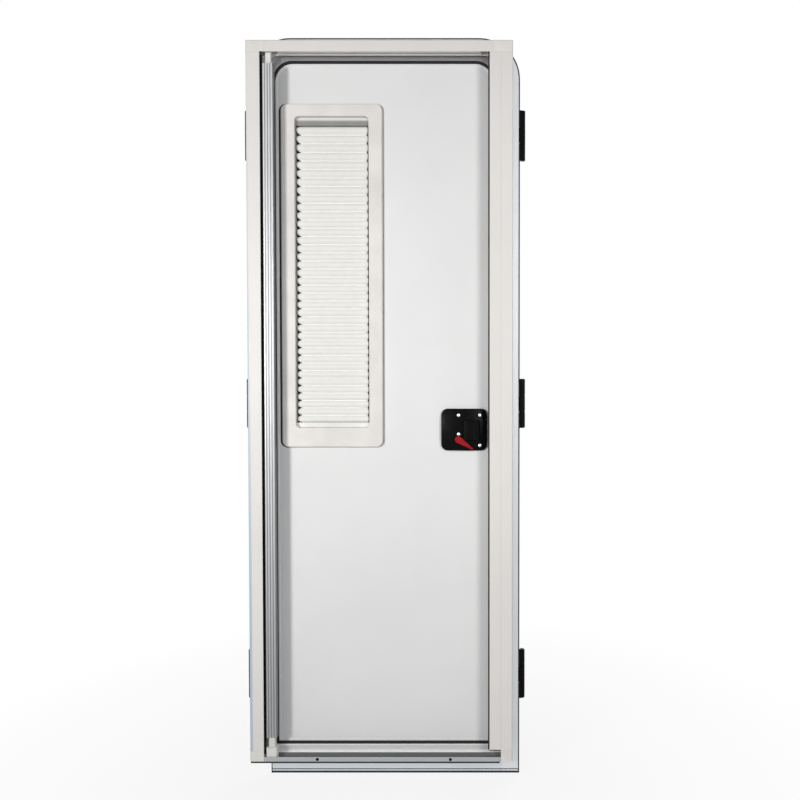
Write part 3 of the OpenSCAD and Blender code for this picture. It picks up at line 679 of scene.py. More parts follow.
class Bench:
    """Modelling by operators, as by hand: one piece is taken at a time."""

    @staticmethod
    def clear() -> None:
        """Leaves edit mode and deselects everything."""
        if bpy.context.mode != "OBJECT":
            bpy.ops.object.mode_set(mode="OBJECT")
        bpy.ops.object.select_all(action="DESELECT")

    @classmethod
    def take(cls, piece: Piece) -> Piece:
        """Selects one piece and makes it active.

        Args:
            piece: The piece.

        Returns:
            The piece.
        """
        cls.clear()
        piece.select_set(True)
        bpy.context.view_layer.objects.active = piece
        return piece

    @staticmethod
    def named(name: str) -> Piece:
        """Names the primitive that was just added, and makes its place part of its mesh.

        Args:
            name: The piece's name.

        Returns:
            The piece.
        """
        piece = bpy.context.active_object
        piece.name = name
        piece.data.name = name
        bpy.ops.object.transform_apply(location=True, rotation=True, scale=True)
        return piece

    @classmethod
    def faces(cls, piece: Piece, test: FaceTest) -> None:
        """Enters edit mode with the faces selected that pass a test.

        Args:
            piece: The piece.
            test: A function of a face's middle and normal.
        """
        cls.take(piece)
        mesh = piece.data
        cls.unmark(mesh)
        for polygon in mesh.polygons:
            if test(polygon.center, polygon.normal):
                polygon.select = True
                for corner in polygon.vertices:
                    mesh.vertices[corner].select = True
        bpy.ops.object.mode_set(mode="EDIT")
        bpy.ops.mesh.select_mode(type="FACE")

    @staticmethod
    def unmark(mesh: bpy.types.Mesh) -> None:
        """Deselects all of a mesh's faces, edges and corners."""
        for group in (mesh.polygons, mesh.edges, mesh.vertices):
            group.foreach_set("select", [False] * len(group))

    @staticmethod
    def leave() -> None:
        """Goes back to object mode."""
        bpy.ops.object.mode_set(mode="OBJECT")

    @classmethod
    def apply(cls, piece: Piece, kind: str, **settings: object) -> Piece:
        """Adds a modifier and applies it.

        Args:
            piece: The piece.
            kind: The modifier's type.
            settings: Its settings.

        Returns:
            The piece.
        """
        cls.take(piece)
        made = piece.modifiers.new(kind.lower(), kind)
        for name, value in settings.items():
            setattr(made, name, value)
        bpy.ops.object.modifier_apply(modifier=made.name)
        return piece

    @classmethod
    def smooth(cls, piece: Piece, angle: float = 35.0) -> Piece:
        """Shades a piece smooth, save at its sharp edges.

        Args:
            piece: The piece.
            angle: The angle in degrees from which an edge counts as sharp.

        Returns:
            The piece.
        """
        cls.take(piece)
        bpy.ops.object.shade_smooth_by_angle(angle=math.radians(angle))
        return piece

    @classmethod
    def join(cls, pieces: Sequence[Piece], name: str) -> Piece:
        """Joins pieces into one.

        Args:
            pieces: The pieces, of which the first stays.
            name: The name of the whole.

        Returns:
            The joined piece.
        """
        cls.take(pieces[0])
        for piece in pieces:
            piece.select_set(True)
        bpy.ops.object.join()
        pieces[0].name = name
        pieces[0].data.name = name
        return pieces[0]

    @classmethod
    def slab(
        cls,
        name: str,
        low: Sequence[float],
        high: Sequence[float],
        rounds: Sequence[float] = (),
    ) -> Piece:
        """Makes a slab between two corners, with round corners in the door's plane.

        Args:
            name: The piece's name.
            low: Its lowest corner.
            high: Its highest corner.
            rounds: The radii of the lower and of the upper corners, or none.

        Returns:
            The slab.
        """
        cls.clear()
        size = [b - a for a, b in zip(low, high)]
        spot = [(a + b) / 2.0 for a, b in zip(low, high)]
        bpy.ops.mesh.primitive_cube_add(size=1.0, location=spot, scale=size)
        piece = cls.named(name)
        for radius, upper in zip(rounds, (False, True)):
            if radius <= 0.0:
                continue
            cls.take(piece)
            cls.mark_corners(piece, spot[2], upper)
            bpy.ops.object.mode_set(mode="EDIT")
            bpy.ops.mesh.bevel(offset=radius, offset_type="OFFSET", segments=ROUND_SEGMENTS, profile=0.5)
            cls.leave()
        return piece

    @classmethod
    def mark_corners(cls, piece: Piece, height: float, upper: bool) -> None:
        """Selects the two edges that run in depth above or below a height.

        Args:
            piece: A slab.
            height: The height.
            upper: Whether the edges above it are meant.
        """
        mesh = piece.data
        cls.unmark(mesh)
        bpy.context.tool_settings.mesh_select_mode = (False, True, False)
        for edge in mesh.edges:
            first, second = (mesh.vertices[index].co for index in edge.vertices)
            deep = abs(first.x - second.x) < SAME_PLACE and abs(first.z - second.z) < SAME_PLACE
            edge.select = deep and (first.z > height) == upper
            if edge.select:
                for index in edge.vertices:
                    mesh.vertices[index].select = True

    @classmethod
    def cut(cls, piece: Piece, cutter: Piece) -> Piece:
        """Cuts one piece out of another and scraps the cutter.

        Args:
            piece: The piece that stays.
            cutter: The piece that is cut out of it.

        Returns:
            The cut piece.
        """
        cls.apply(piece, "BOOLEAN", operation="DIFFERENCE", object=cutter, solver="EXACT")
        cls.scrap(cutter)
        return piece

    @classmethod
    def ring(
        cls,
        name: str,
        low: Sequence[float],
        high: Sequence[float],
        rounds: tuple[float, float],
        width: float,
    ) -> Piece:
        """Makes a flat ring in the door's plane.

        Args:
            name: The piece's name.
            low: The lowest corner of its outline.
            high: The highest corner of its outline.
            rounds: The outline's lower and upper corner radii.
            width: The ring's width.

        Returns:
            The ring.
        """
        spare = 0.001
        body = cls.slab(name, low, high, rounds)
        inner = [max(0.0, radius - width) for radius in rounds]
        hole = cls.slab(
            "hole",
            (low[0] + width, low[1] - spare, low[2] + width),
            (high[0] - width, high[1] + spare, high[2] - width),
            inner,
        )
        return cls.cut(body, hole)

    @staticmethod
    def copy_to(pattern: Piece, place: Matrix) -> Piece:
        """Copies a piece, with its own mesh, and puts the copy's mesh in place.

        Args:
            pattern: The piece to copy.
            place: Where the copy goes.

        Returns:
            The copy.
        """
        made = pattern.copy()
        made.data = pattern.data.copy()
        made.data.transform(place)
        bpy.context.scene.collection.objects.link(made)
        return made

    @staticmethod
    def scrap(piece: Piece) -> None:
        """Removes a piece that is no longer needed.

        Args:
            piece: A pattern or a cutter.
        """
        mesh = piece.data
        bpy.data.objects.remove(piece)
        bpy.data.meshes.remove(mesh)


def facing(point: Sequence[float], direction: Sequence[float]) -> Matrix:
    """Returns the matrix that puts a piece made along +Z at a point, facing a direction."""
    turn = Vector(direction).to_track_quat("Z", "Y").to_matrix().to_4x4()
    return Matrix.Translation(Vector(point)) @ turn


@dataclass(frozen=True)
class Ease:
    """How far the sharp edges of a solid are eased off."""

    width: float
    segments: int = 2
    angle: float = 38.0
    merge: float = 0.000002
    flat_angle: float = 0.4
    weight: int = 60

    def put_on(self, node: Piece) -> None:
        """Adds the live modifiers that merge, round and shade a solid.

        Args:
            node: A solid's object, whose own mesh stays as it is.
        """
        flags = [True] * len(node.data.polygons)
        node.data.polygons.foreach_set("use_smooth", flags)
        weld = node.modifiers.new("weld", "WELD")
        weld.merge_threshold = self.merge
        flat = node.modifiers.new("flat", "DECIMATE")
        flat.decimate_type = "DISSOLVE"
        flat.angle_limit = math.radians(self.flat_angle)
        rim = node.modifiers.new("rim", "BEVEL")
        rim.width = self.width
        rim.segments = self.segments
        rim.limit_method = "ANGLE"
        rim.angle_limit = math.radians(self.angle)
        even = node.modifiers.new("even", "WEIGHTED_NORMAL")
        even.keep_sharp = True
        even.weight = self.weight


FINE_EDGE = Ease(0.0004)
CAST_EDGE = Ease(0.0005)
DRAWN_EDGE = Ease(0.0006)
SMALL_ROUND = Ease(0.0008, 3)
PADDLE_ROUND = Ease(0.0010, 3)
CASE_ROUND = Ease(0.0012, 3)
SNIB_ROUND = Ease(0.0012, 4)
FRAME_ROUND = Ease(0.0014, 4)
OUTER_ROUND = Ease(0.0015, 3)


@dataclass
class Assembly:
    """A group of pieces that are built and dressed together."""

    frame: dict
    palette: Palette

    def dress(self, names: Sequence[str], finish: Finish, ease: Optional[Ease] = None) -> None:
        """Gives solids a finish and eased edges.

        Args:
            names: The solids' names.
            finish: The finish.
            ease: How their edges are eased, or none.
        """
        for name in names:
            node = self.frame["nodes"][name]
            finish.wear(node)
            if ease is not None:
                ease.put_on(node)
            LOG.info("dressed %s in %s", name, finish.name)

    def seat(self, piece: Piece, body: str, finish: Finish, slot: str) -> Piece:
        """Finishes a new piece and lets it ride on a body.

        Args:
            piece: The piece, in place.
            body: The body it moves with.
            finish: Its finish.
            slot: The record's material slot; not used.

        Returns:
            The piece.
        """
        finish.wear(piece)
        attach(piece, body)
        LOG.info("built %s on %s", piece.name, body)
        return piece


@dataclass
class Screws(Assembly):
    """Domed screws with a cross recess.

    The rings, dome, arms and rim are shares of the radius, the arms' depths are shares of the
    height, and each screw of a row is turned a little further than the one before.
    """

    radius: float = 0.0042
    height: float = 0.0022
    facets: int = 28
    top_share: float = 0.99
    outer_ring: float = 0.3
    inner_ring: float = 0.2
    dome: float = 0.22
    arm_half: float = 0.22
    arm_reach: float = 0.62
    arm_depths: tuple[float, float] = (0.5, 0.45)
    rim: float = 0.06
    first_turn: float = 0.4
    next_turn: float = 0.9

    def pattern(self) -> Piece:
        """Makes one screw head.

        Returns:
            The head, at the origin and facing +Z.
        """
        Bench.clear()
        bpy.ops.mesh.primitive_cylinder_add(
            vertices=self.facets, radius=self.radius, depth=self.height, location=(0, 0, self.height / 2)
        )
        head = Bench.named("screw")
        top = self.height
        Bench.faces(head, lambda point, normal: point.z > top * self.top_share)
        bpy.ops.mesh.inset(thickness=self.radius * self.outer_ring, depth=0.0)
        bpy.ops.mesh.inset(thickness=self.radius * self.inner_ring, depth=0.0)
        Bench.leave()
        dome = self.radius * self.dome
        for vertex in head.data.vertices:
            away = math.hypot(vertex.co.x, vertex.co.y) / self.radius
            if vertex.co.z > top * 0.5:
                vertex.co.z = top - dome * away * away
        half = self.radius * self.arm_half
        reach = self.radius * self.arm_reach
        for (wide, tall), depth in zip(((reach, half), (half, reach)), self.arm_depths):
            Bench.clear()
            size = (wide, tall, self.height * depth)
            bpy.ops.mesh.primitive_cube_add(size=2.0, location=(0, 0, top), scale=size)
            Bench.cut(head, Bench.named("arm"))
        Bench.apply(head, "BEVEL", width=self.radius * self.rim, segments=1, limit_method="ANGLE")
        return Bench.smooth(head)

    def drive(
        self,
        name: str,
        body: str,
        points: Sequence[Sequence[float]],
        direction: Sequence[float],
        finish: Finish,
        slot: str,
    ) -> Piece:
        """Puts a row of screws in as one piece.

        Args:
            name: The row's name.
            body: The body it moves with.
            points: Where each head sits.
            direction: Where the heads look.
            finish: Their finish.
            slot: The record's material slot.

        Returns:
            The row.
        """
        pattern = self.pattern()
        heads = []
        for index, point in enumerate(points):
            turn = Matrix.Rotation(self.first_turn + self.next_turn * index, 4, "Z")
            heads.append(Bench.copy_to(pattern, facing(point, direction) @ turn))
        Bench.scrap(pattern)
        return self.seat(Bench.join(heads, name), body, finish, slot)


def cloth_sheet(
    name: str,
    profile: Sequence[tuple[float, float]],
    rows: Sequence[float],
    across: str,
    smooth: bool = True,
) -> Piece:
    """Makes a folded sheet from its edge line.

    Args:
        name: The piece's name.
        profile: The points of its folded edge: along the folds' run and in depth.
        rows: The places along the folds.
        across: "X" where the folds run along X and are stacked in Z, "Z" where they run along Z.
        smooth: Whether the folds are rounded, and not sharp.

    Returns:
        The sheet, one face thick, with an unrolled map called cloth.
    """
    mesh = bpy.data.meshes.new(name)
    made = bmesh.new()
    chart = made.loops.layers.uv.new("cloth")
    run = [0.0]
    for (u0, v0), (u1, v1) in zip(profile, profile[1:]):
        run.append(run[-1] + math.hypot(u1 - u0, v1 - v0))
    grid = []
    for row in rows:
        line = []
        for along, depth in profile:
            spot = (row, depth, along) if across == "X" else (along, depth, row)
            line.append(made.verts.new(spot))
        grid.append(line)
    for i in range(len(rows) - 1):
        for j in range(len(profile) - 1):
            corners = (grid[i][j], grid[i + 1][j], grid[i + 1][j + 1], grid[i][j + 1])
            face = made.faces.new(corners)
            here, beyond = rows[i], rows[i + 1]
            marks = ((here, run[j]), (beyond, run[j]), (beyond, run[j + 1]), (here, run[j + 1]))
            for loop, mark in zip(face.loops, marks):
                loop[chart].uv = mark
            face.smooth = smooth
    made.to_mesh(mesh)
    made.free()
    piece = bpy.data.objects.new(name, mesh)
    bpy.context.scene.collection.objects.link(piece)
    return piece


def spaced(low: float, high: float, count: int) -> list[float]:
    """Returns count evenly spaced values from low to high."""
    return [low + (high - low) * index / (count - 1) for index in range(count)]


@dataclass
class OuterFrame(Assembly):
    """The aluminium frame that is fixed in the wall, with its sill and its sealing strip."""

    corner: float = 0.100
    strip_w: float = 0.0028
    strip_t: float = 0.0008
    line_low: float = 0.0084
    line_h: float = 0.0018
    foot_h: float = 0.0044
    end_w: float = 0.0018
    end_gap: float = 0.003
    lap: float = 0.0001
    notch: float = 0.0035
    knuckle: float = 0.020
    spare: float = 0.01
    screw_r: float = 0.0036
    screw_h: float = 0.0010
    screw_reach: float = 0.034
    screw_y: float = 0.002
    screw_sink: float = 0.0003

    def build(self) -> None:
        """Dresses the frame's solids and lays the strip."""
        self.dress(("frame_jamb_left", "frame_jamb_right"), self.palette.frame_coat, DRAWN_EDGE)
        self.dress(("frame_head",), self.palette.head_coat_and_shade, DRAWN_EDGE)
        self.dress(("frame_sill",), self.palette.sill_coat, DRAWN_EDGE)
        self.dress(("lock_keeper",), self.palette.steel, CAST_EDGE)
        self.strip()
        self.keeper_screws()

    def strip(self) -> Piece:
        """Lays the black sealing strip on the flange's edge, on the side of the wall, with a dark band of
        painted shadow along its bottom.

        Returns:
            The strip.
        """
        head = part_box("frame_head")
        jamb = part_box("frame_jamb_left")
        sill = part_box("frame_sill")
        low = (head[0].x, -self.strip_t, sill[0].z)
        high = (head[1].x, 0.0, head[1].z)
        edge = Bench.ring("edge", low, high, (0.0, self.corner), self.strip_w)
        spare = self.spare
        under = Bench.slab("under", (low[0] - spare, -spare, low[2] - spare), (sill[0].x, spare, jamb[0].z))
        Bench.cut(edge, under)
        self.clear_knuckles(edge, high[0])
        line_z = low[2] + self.line_low
        line = Bench.slab(
            "line",
            (sill[0].x, low[1] / 2.0, line_z),
            (high[0] - self.strip_w, 0.0, line_z + self.line_h),
        )
        front = low[1] - self.lap
        # painted shadow: a dark band along the flange's lower edge
        foot = Bench.slab("foot", (sill[0].x, front, low[2]), (high[0], 0.0, low[2] + self.foot_h))
        tip = (sill[0].x + self.end_w, 0.0, jamb[0].z - self.end_gap)
        end = Bench.slab("end", (sill[0].x, front, low[2]), tip)
        whole = Bench.join((edge, line, foot, end), "frame_strip")
        return self.seat(whole, "frame", self.palette.seal, "seal_rubber")

    def clear_knuckles(self, edge: Piece, reach: float) -> None:
        """Cuts the strip away where the flange is notched for the hinges and the edge blocks.

        Args:
            edge: The strip.
            reach: How far the flange reaches to each side.
        """
        for level in ("top", "middle", "bottom"):
            low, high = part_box(f"edge_block_{level}")
            middle = (low.z + high.z) / 2.0
            for side in (-1, 1):
                inner = side * (reach - self.notch)
                outer = side * (reach + self.spare)
                gap = Bench.slab(
                    "gap",
                    (min(inner, outer), -self.spare, middle - self.knuckle),
                    (max(inner, outer), self.spare, middle + self.knuckle),
                )
                Bench.cut(edge, gap)

    def keeper_screws(self) -> None:
        """Puts two screws in the keeper."""
        low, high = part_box("lock_keeper")
        middle = (low.z + high.z) / 2.0
        out = low.x - self.screw_sink
        points = [(out, self.screw_y, middle + side * self.screw_reach) for side in (-1, 1)]
        screws = Screws(self.frame, self.palette, self.screw_r, self.screw_h)
        screws.drive("keeper_screws", "frame", points, (-1, 0, 0), self.palette.steel, "steel")


@dataclass
class ScreenFrame(Assembly):
    """The cream frame on the room side that the fly screen runs in."""

    screw_reach: float = 0.162
    screw_r: float = 0.0036
    screw_h: float = 0.0014
    lip_w: float = 0.0034
    lip_t: float = 0.0014
    lip_sink: float = 0.0003
    lip_root: float = 0.0004
    lip_end: float = 0.0005
    foot_h: float = 0.0040
    foot_inset: float = 0.003
    foot_back: float = 0.0004
    pad_h: float = 0.0024
    rim: float = 0.0004

    def build(self) -> None:
        """Dresses the frame, lays its rubber lip and its dark pieces of painted shadow, and puts the two
        dark screws in the track.
        """
        long_pieces = ("screen_jamb_right", "screen_catch", "screen_head_rail", "head_guide_strip")
        self.dress(long_pieces, self.palette.cream_coat, DRAWN_EDGE)
        self.dress(("screen_jamb_left",), self.palette.jamb_coat, DRAWN_EDGE)
        self.dress(("screen_track",), self.palette.track_coat_and_shade, CAST_EDGE)
        corners = ("corner_top_left", "corner_top_right", "corner_bottom_left", "corner_bottom_right")
        self.dress(corners, self.palette.cream_plastic, DRAWN_EDGE)
        self.catch_lip()
        self.catch_foot()
        self.foot_rubber()
        low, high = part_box("screen_track")
        height = (low.z + high.z) / 2.0
        screws = Screws(self.frame, self.palette, self.screw_r, self.screw_h)
        points = [(side * self.screw_reach, low.y, height) for side in (-1, 1)]
        black = self.palette.black_plastic
        screws.drive("track_screws", "frame", points, (0, -1, 0), black, "black_plastic")

    def catch_lip(self) -> Piece:
        """Makes the black rubber lip on the catch's front edge.

        Returns:
            The lip.
        """
        low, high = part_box("screen_catch")
        front = low.y + self.lip_sink
        start = (low.x - self.lip_w, front, low.z + self.lip_end)
        end = (low.x + self.lip_root, front + self.lip_t, high.z - self.lip_end)
        return self.rubber("catch_lip", start, end)

    def foot_rubber(self) -> Piece:
        """Makes the dark strip that the track and the left corner piece stand on, as painted shadow in the
        gap beneath them.

        Returns:
            The rubber.
        """
        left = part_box("corner_bottom_left")
        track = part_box("screen_track")
        high = (track[1].x - self.foot_inset, left[1].y - self.foot_back, left[0].z)
        low = (left[0].x + self.foot_inset, left[0].y + self.foot_back, left[0].z - self.foot_h)
        return self.rubber("foot_rubber", low, high)

    def catch_foot(self) -> Piece:
        """Makes the dark pad that closes the lower end of the catch, as painted shadow under it.

        Returns:
            The pad.
        """
        low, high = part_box("screen_catch")
        back = self.foot_back
        start = (low.x, low.y + back, low.z - self.pad_h)
        return self.rubber("catch_foot", start, (high.x, high.y - back, low.z))

    def rubber(self, name: str, low: Sequence[float], high: Sequence[float]) -> Piece:
        """Makes a rubber block with eased edges.

        Args:
            name: The block's name.
            low: Its lowest corner.
            high: Its highest corner.

        Returns:
            The block.
        """
        block = Bench.slab(name, low, high)
        Bench.apply(block, "BEVEL", width=self.rim, segments=2, limit_method="ANGLE")
        Bench.smooth(block)
        return self.seat(block, "frame", self.palette.seal, "seal_rubber")


@dataclass
class FlyScreen(Assembly):
    """The pull bar with its shoes, and the pleated net that it draws out of the jamb."""

    folds: int = 32
    fold_depth: float = 0.0140
    foot_gap: float = 0.0015
    rows: int = 25

    def build(self) -> None:
        """Dresses the bar and makes the net."""
        self.dress(("pull_bar",), self.palette.bar_metal_and_shade, FINE_EDGE)
        self.dress(("bar_shoe_top", "bar_shoe_bottom"), self.palette.cream_plastic, SMALL_ROUND)
        self.net()

    def net(self) -> Piece:
        """Makes the net, with its folds spaced by the inverse of a smooth step across its width.

        Returns:
            The net.
        """
        low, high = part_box("pleated_screen")
        bar_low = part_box("pull_bar")[0]
        start = low.x
        end = bar_low.x
        mid_y = (low.y + high.y) / 2.0
        profile = []
        for index in range(2 * self.folds + 1):
            share = index / (2.0 * self.folds)
            # The inverse of a smooth step, which spaces the folds wider towards the net's two ends
            along = 0.5 - math.sin(math.asin(1.0 - 2.0 * share) / 3.0)
            side = -0.5 if index % 2 == 0 else 0.5
            profile.append((start + along * (end - start), mid_y + side * self.fold_depth))
        rows = spaced(low.z + self.foot_gap, high.z - self.foot_gap, self.rows)
        sheet = cloth_sheet("fly_net", profile, rows, "Z", smooth=False)
        self.palette.net.wear(sheet)
        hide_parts("pleated_screen")
        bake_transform(sheet)
        LOG.info("built %s between frame and fly_screen", sheet.name)
        return sheet


@dataclass
class Leaf(Assembly):
    """The door leaf: its skins, its core and its seal."""

    def build(self) -> None:
        """Dresses the leaf's solids."""
        self.dress(("leaf_inner_skin", "leaf_outer_skin"), self.palette.leaf_coat, CAST_EDGE)
        self.dress(("leaf_core",), self.palette.foam)
        self.dress(("leaf_seal",), self.palette.seal, OUTER_ROUND)


@dataclass
class BlindWindow(Assembly):
    """The window in the leaf with its frames, its pane and its pleated blind."""

    side_gap: float = 0.0028
    pleats: int = 37
    pitch_drift: float = 0.08
    fold_power: float = 3.0
    notch_left: float = 0.009
    notch_right: float = 0.004
    corner: float = 0.016
    rubber_w: float = 0.0056
    rubber_t: float = 0.0016
    rubber_out: float = 0.0014
    # the ring reaches further out on the left as painted shade beside the frame
    rubber_left_for_shade: float = 0.0046
    skin_in: float = 0.0012
    fold_steps: int = 10
    rows: int = 9
    edge_reach: float = 0.001

    def build(self) -> None:
        """Dresses the window, lays its rubber and makes the blind."""
        self.dress(("window_inner_frame",), self.palette.window_plastic, FRAME_ROUND)
        self.dress(("window_outer_frame",), self.palette.black_plastic, OUTER_ROUND)
        self.dress(("window_pane",), self.palette.pane)
        self.dress(("blind_head",), self.palette.grey_plastic, DRAWN_EDGE)
        self.dress(("blind_rail",), self.palette.rail_plastic, CASE_ROUND)
        self.rubber()
        self.blind()

    def rubber(self) -> Piece:
        """Makes the thin rubber round the inner frame's edge, which reaches further out on the left as
        painted shade.

        Returns:
            The rubber.
        """
        low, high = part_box("window_inner_frame")
        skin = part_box("leaf_inner_skin")[1].y - self.skin_in
        out = self.rubber_out
        ring = Bench.ring(
            "window_rubber_and_shade",
            (low.x - self.rubber_left_for_shade, skin - self.rubber_t, low.z - out),
            (high.x + out, skin, high.z + out),
            (self.corner + out, self.corner + out),
            self.rubber_w,
        )
        return self.seat(ring, "leaf", self.palette.window_rubber_and_shade, "seal_rubber")

    def blind(self) -> Piece:
        """Makes the pleated cloth with rounded folds.

        Returns:
            The cloth.
        """
        low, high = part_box("window_blind")
        profile = []
        steps = self.fold_steps
        count = self.pleats * steps
        for index in range(count + 1):
            share = (index % steps) / steps
            wave = abs(2.0 * share - 1.0)
            depth = wave**self.fold_power
            climb = index / count
            # The pleats lie closer together at the bottom than at the top
            climb -= self.pitch_drift * climb * (1.0 - climb)
            profile.append((low.z + (high.z - low.z) * climb, low.y + (high.y - low.y) * depth))
        rows = spaced(low.x + self.side_gap, high.x - self.side_gap, self.rows)
        sheet = cloth_sheet("blind_cloth", profile, rows, "X")
        for vertex in sheet.data.vertices:
            share = (vertex.co.y - low.y) / (high.y - low.y)
            if vertex.co.x < rows[0] + self.edge_reach:
                vertex.co.x += self.notch_left * share
            elif vertex.co.x > rows[-1] - self.edge_reach:
                vertex.co.x -= self.notch_right * share
        self.seat(sheet, "leaf", self.palette.blind, "blind_fabric")
        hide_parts("window_blind")
        return sheet


@dataclass
class Lock(Assembly):
    """The push-paddle lock with its red snib, its screws and its outer side."""

    screw_spots: tuple[tuple[float, float], ...] = (
        (-0.0135, 0.0355),
        (0.0385, 0.0355),
        (-0.0135, -0.0105),
        (0.0385, -0.0385),
    )
    case_front: float = -0.023
    crown: float = 0.230
    sink: float = 0.0012
    screw_r: float = 0.0041
    screw_h: float = 0.0016

    def build(self) -> None:
        """Dresses the lock and puts in its screws."""
        self.dress(("lock_inner_case",), self.palette.black_plastic, CASE_ROUND)
        self.dress(("lock_outer_case", "outer_handle"), self.palette.black_plastic, OUTER_ROUND)
        self.dress(("lock_paddle",), self.palette.black_plastic, PADDLE_ROUND)
        self.dress(("lock_snib",), self.palette.red_plastic, SNIB_ROUND)
        self.dress(("lock_cylinder",), self.palette.steel, CAST_EDGE)
        low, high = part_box("lock_inner_case")
        middle_x = (low.x + high.x) / 2.0
        middle_z = (low.z + high.z) / 2.0
        points = []
        for dx, dz in self.screw_spots:
            # The crown falls away with the square of the distance from its middle
            seat = self.case_front + (dx * dx + dz * dz) / (2.0 * self.crown) + self.sink
            points.append((middle_x + dx, seat, middle_z + dz))
        screws = Screws(self.frame, self.palette, self.screw_r, self.screw_h)
        screws.drive("lock_screws", "leaf", points, (0, -1, 0), self.palette.steel, "steel")


@dataclass
class Hinges(Assembly):
    """The three hinges on the left edge and the blocks of the same form on the right."""

    levels: tuple[str, ...] = ("top", "middle", "bottom")
    strap_screws: tuple[float, ...] = (0.010, 0.024)
    plate_x: float = 0.317
    plate_face: float = 0.006
    plate_reach: float = 0.047
    screw_r: float = 0.0041
    screw_h: float = 0.0010

    def build(self) -> None:
        """Dresses the hinges and puts in their screws."""
        bases = [f"hinge_base_{level}" for level in self.levels]
        straps = [f"hinge_strap_{level}" for level in self.levels]
        blocks = [f"edge_block_{level}" for level in self.levels]
        self.dress(bases + straps + blocks, self.palette.black_plastic, CAST_EDGE)
        for level in self.levels:
            self.screws(level)

    def screws(self, level: str) -> None:
        """Puts the screws in the hinge and in the edge block at one level.

        Args:
            level: "top", "middle" or "bottom".
        """
        low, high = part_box(f"hinge_strap_{level}")
        height = (low.z + high.z) / 2.0
        sunk = Screws(self.frame, self.palette, self.screw_r, self.screw_h)
        face = high.y - sunk.height
        points = [(high.x - reach, face, height) for reach in self.strap_screws]
        sunk.drive(f"strap_screws_{level}", "leaf", points, (0, 1, 0), self.palette.steel, "steel")
        for side, node in ((-1, "hinge_base"), (1, "edge_block")):
            face = self.plate_face - sunk.height
            points = [(side * self.plate_x, face, height + end * self.plate_reach) for end in (-1, 1)]
            sunk.drive(f"{node}_screws_{level}", "frame", points, (0, 1, 0), self.palette.steel, "steel")


def shown_rays(nodes: bpy.types.Nodes, links: bpy.types.NodeLinks) -> Socket:
    """Adds a value of 1 for the camera's rays and those off metal or through glass, else 0.

    Args:
        nodes: The nodes of a floor's material or of a world.
        links: Their links.

    Returns:
        The value.
    """
    path = nodes.new("ShaderNodeLightPath")
    shown = path.outputs["Is Camera Ray"]
    for name in ("Is Glossy Ray", "Is Transmission Ray"):
        larger = nodes.new("ShaderNodeMath")
        larger.operation = "MAXIMUM"
        links.new(shown, larger.inputs[0])
        links.new(path.outputs[name], larger.inputs[1])
        shown = larger.outputs[0]
    return shown


@dataclass(frozen=True)
class Softbox:
    """A rectangular lamp, with its power in watts and its spread in degrees."""

    name: str
    place: Point
    aim: Point
    size: tuple[float, float]
    power: float
    colour: Colour
    spread: float

    def hang(self) -> None:
        """Adds the lamp to the scene."""
        data = bpy.data.lights.new(self.name, "AREA")
        data.shape = "RECTANGLE"
        data.size, data.size_y = self.size
        data.energy = self.power
        data.color = self.colour
        data.spread = math.radians(self.spread)
        lamp = bpy.data.objects.new(self.name, data)
        lamp.location = self.place
        sight = Vector(self.aim) - Vector(self.place)
        lamp.rotation_euler = sight.to_track_quat("-Z", "Y").to_euler()
        bpy.context.scene.collection.objects.link(lamp)


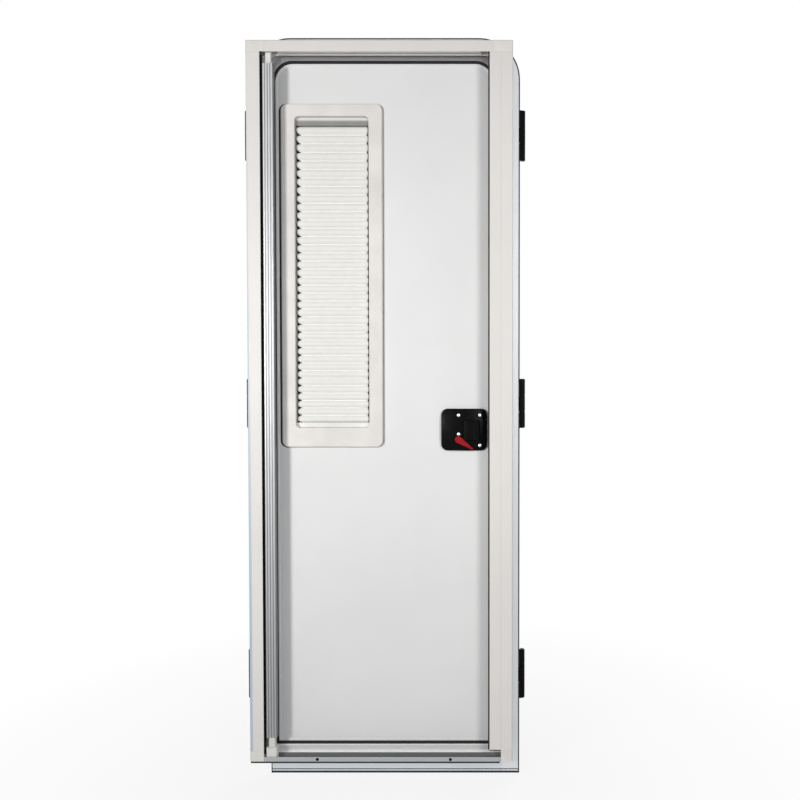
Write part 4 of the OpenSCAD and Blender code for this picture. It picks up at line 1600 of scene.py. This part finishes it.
@dataclass
class Studio:
    """The floor, the lamps, the surroundings and the camera."""

    key: Softbox = Softbox(
        name="key",
        place=(-2.0, -2.6, 1.25),
        aim=(0.0, 0.0, 1.05),
        size=(0.5, 0.8),
        power=14.4,
        colour=(1.0, 0.99, 0.98),
        spread=84.0,
    )
    fill: Softbox = Softbox(
        name="fill",
        place=(1.7, -2.8, 1.5),
        aim=(0.0, 0.0, 1.05),
        size=(0.9, 1.2),
        power=12.6,
        colour=(0.98, 0.99, 1.0),
        spread=100.0,
    )
    outside: Softbox = Softbox(
        name="outside",
        place=(2.1, 3.2, 2.4),
        aim=(0.0, 0.0, 0.9),
        size=(1.8, 1.8),
        power=62.0,
        colour=(1.0, 1.0, 1.0),
        spread=180.0,
    )
    floor_dark: Colour = (0.70, 0.70, 0.70)
    floor_light: Colour = (0.72, 0.72, 0.72)
    floor_roughness: float = 0.9
    floor_glow: float = 0.86
    floor_size: float = 40.0
    floor_drop: float = 0.0005
    near: float = 0.25
    far: float = 1.3
    ambient: float = 0.12
    focal_pixels: float = 743.8
    image_side: float = 800.0
    sensor: float = 36.0
    centre_column: float = 480.0
    eye: tuple[float, float, float] = (0.234, -1.842, 0.958)
    tilt_down: float = 1.32

    def build(self) -> None:
        """Builds the studio."""
        self.floor()
        self.surroundings()
        for lamp in (self.key, self.fill, self.outside):
            lamp.hang()
        self.camera()

    def floor(self) -> None:
        """Adds the pale floor, which looks white and keeps the door's shadow."""
        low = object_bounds()[0]
        Bench.clear()
        bpy.ops.mesh.primitive_plane_add(size=self.floor_size, location=(0, 0, low.z - self.floor_drop))
        ground = Bench.named("studio_floor")
        recipe = Recipe("studio_floor")
        tone = recipe.mix(recipe.noise(2.0), self.floor_dark, self.floor_light)
        recipe.shine(Base_Color=tone, Roughness=self.floor_roughness)
        glow = recipe.node("ShaderNodeEmission", "Emission", Color=(1.0, 1.0, 1.0), Strength=1.0)
        away = recipe.nodes.new("ShaderNodeVectorMath")
        away.operation = "LENGTH"
        recipe.feed(away.inputs[0], recipe.place)
        pale = recipe.spread(away.outputs["Value"], self.floor_glow, 1.0, self.near, self.far)
        share = recipe.times(shown_rays(recipe.nodes, recipe.links), pale)
        blend = recipe.nodes.new("ShaderNodeMixShader")
        recipe.feed(blend.inputs[0], share)
        recipe.links.new(recipe.surface.outputs["BSDF"], blend.inputs[1])
        recipe.links.new(glow, blend.inputs[2])
        recipe.links.new(blend.outputs[0], recipe.output.inputs["Surface"])
        ground.data.materials.append(recipe.material)
        ground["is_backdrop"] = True
        LOG.info("built the floor")

    def surroundings(self) -> None:
        """Sets a world that is white to look at and lights softly."""
        world = bpy.data.worlds.new("studio")
        bpy.context.scene.world = world
        world.use_nodes = True
        nodes = world.node_tree.nodes
        links = world.node_tree.links
        nodes.clear()
        out = nodes.new("ShaderNodeOutputWorld")
        back = nodes.new("ShaderNodeBackground")
        back.inputs["Color"].default_value = (1.0, 1.0, 1.0, 1.0)
        level = nodes.new("ShaderNodeMapRange")
        links.new(shown_rays(nodes, links), level.inputs["Value"])
        level.inputs["To Min"].default_value = self.ambient
        level.inputs["To Max"].default_value = 1.0
        links.new(level.outputs["Result"], back.inputs["Strength"])
        links.new(back.outputs["Background"], out.inputs["Surface"])
        bpy.context.scene.view_settings.view_transform = "Standard"

    def camera(self) -> None:
        """Adds the camera at the photograph's viewing angle."""
        data = bpy.data.cameras.new("camera")
        data.sensor_width = self.sensor
        data.lens = self.focal_pixels / self.image_side * self.sensor
        data.shift_x = -(self.centre_column - self.image_side / 2.0) / self.image_side
        view = bpy.data.objects.new("camera", data)
        view.location = self.eye
        view.rotation_euler = (math.radians(90.0 - self.tilt_down), 0.0, 0.0)
        bpy.context.scene.collection.objects.link(view)
        bpy.context.scene.camera = view


def main() -> None:
    """Builds the door's looks in order."""
    logging.basicConfig(level=logging.INFO, format="%(message)s")
    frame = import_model()
    palette = Palette()
    Studio().build()
    for assembly in (OuterFrame, ScreenFrame, FlyScreen, Leaf, BlindWindow, Lock, Hinges):
        assembly(frame, palette).build()


if __name__ == "__main__":
    main()
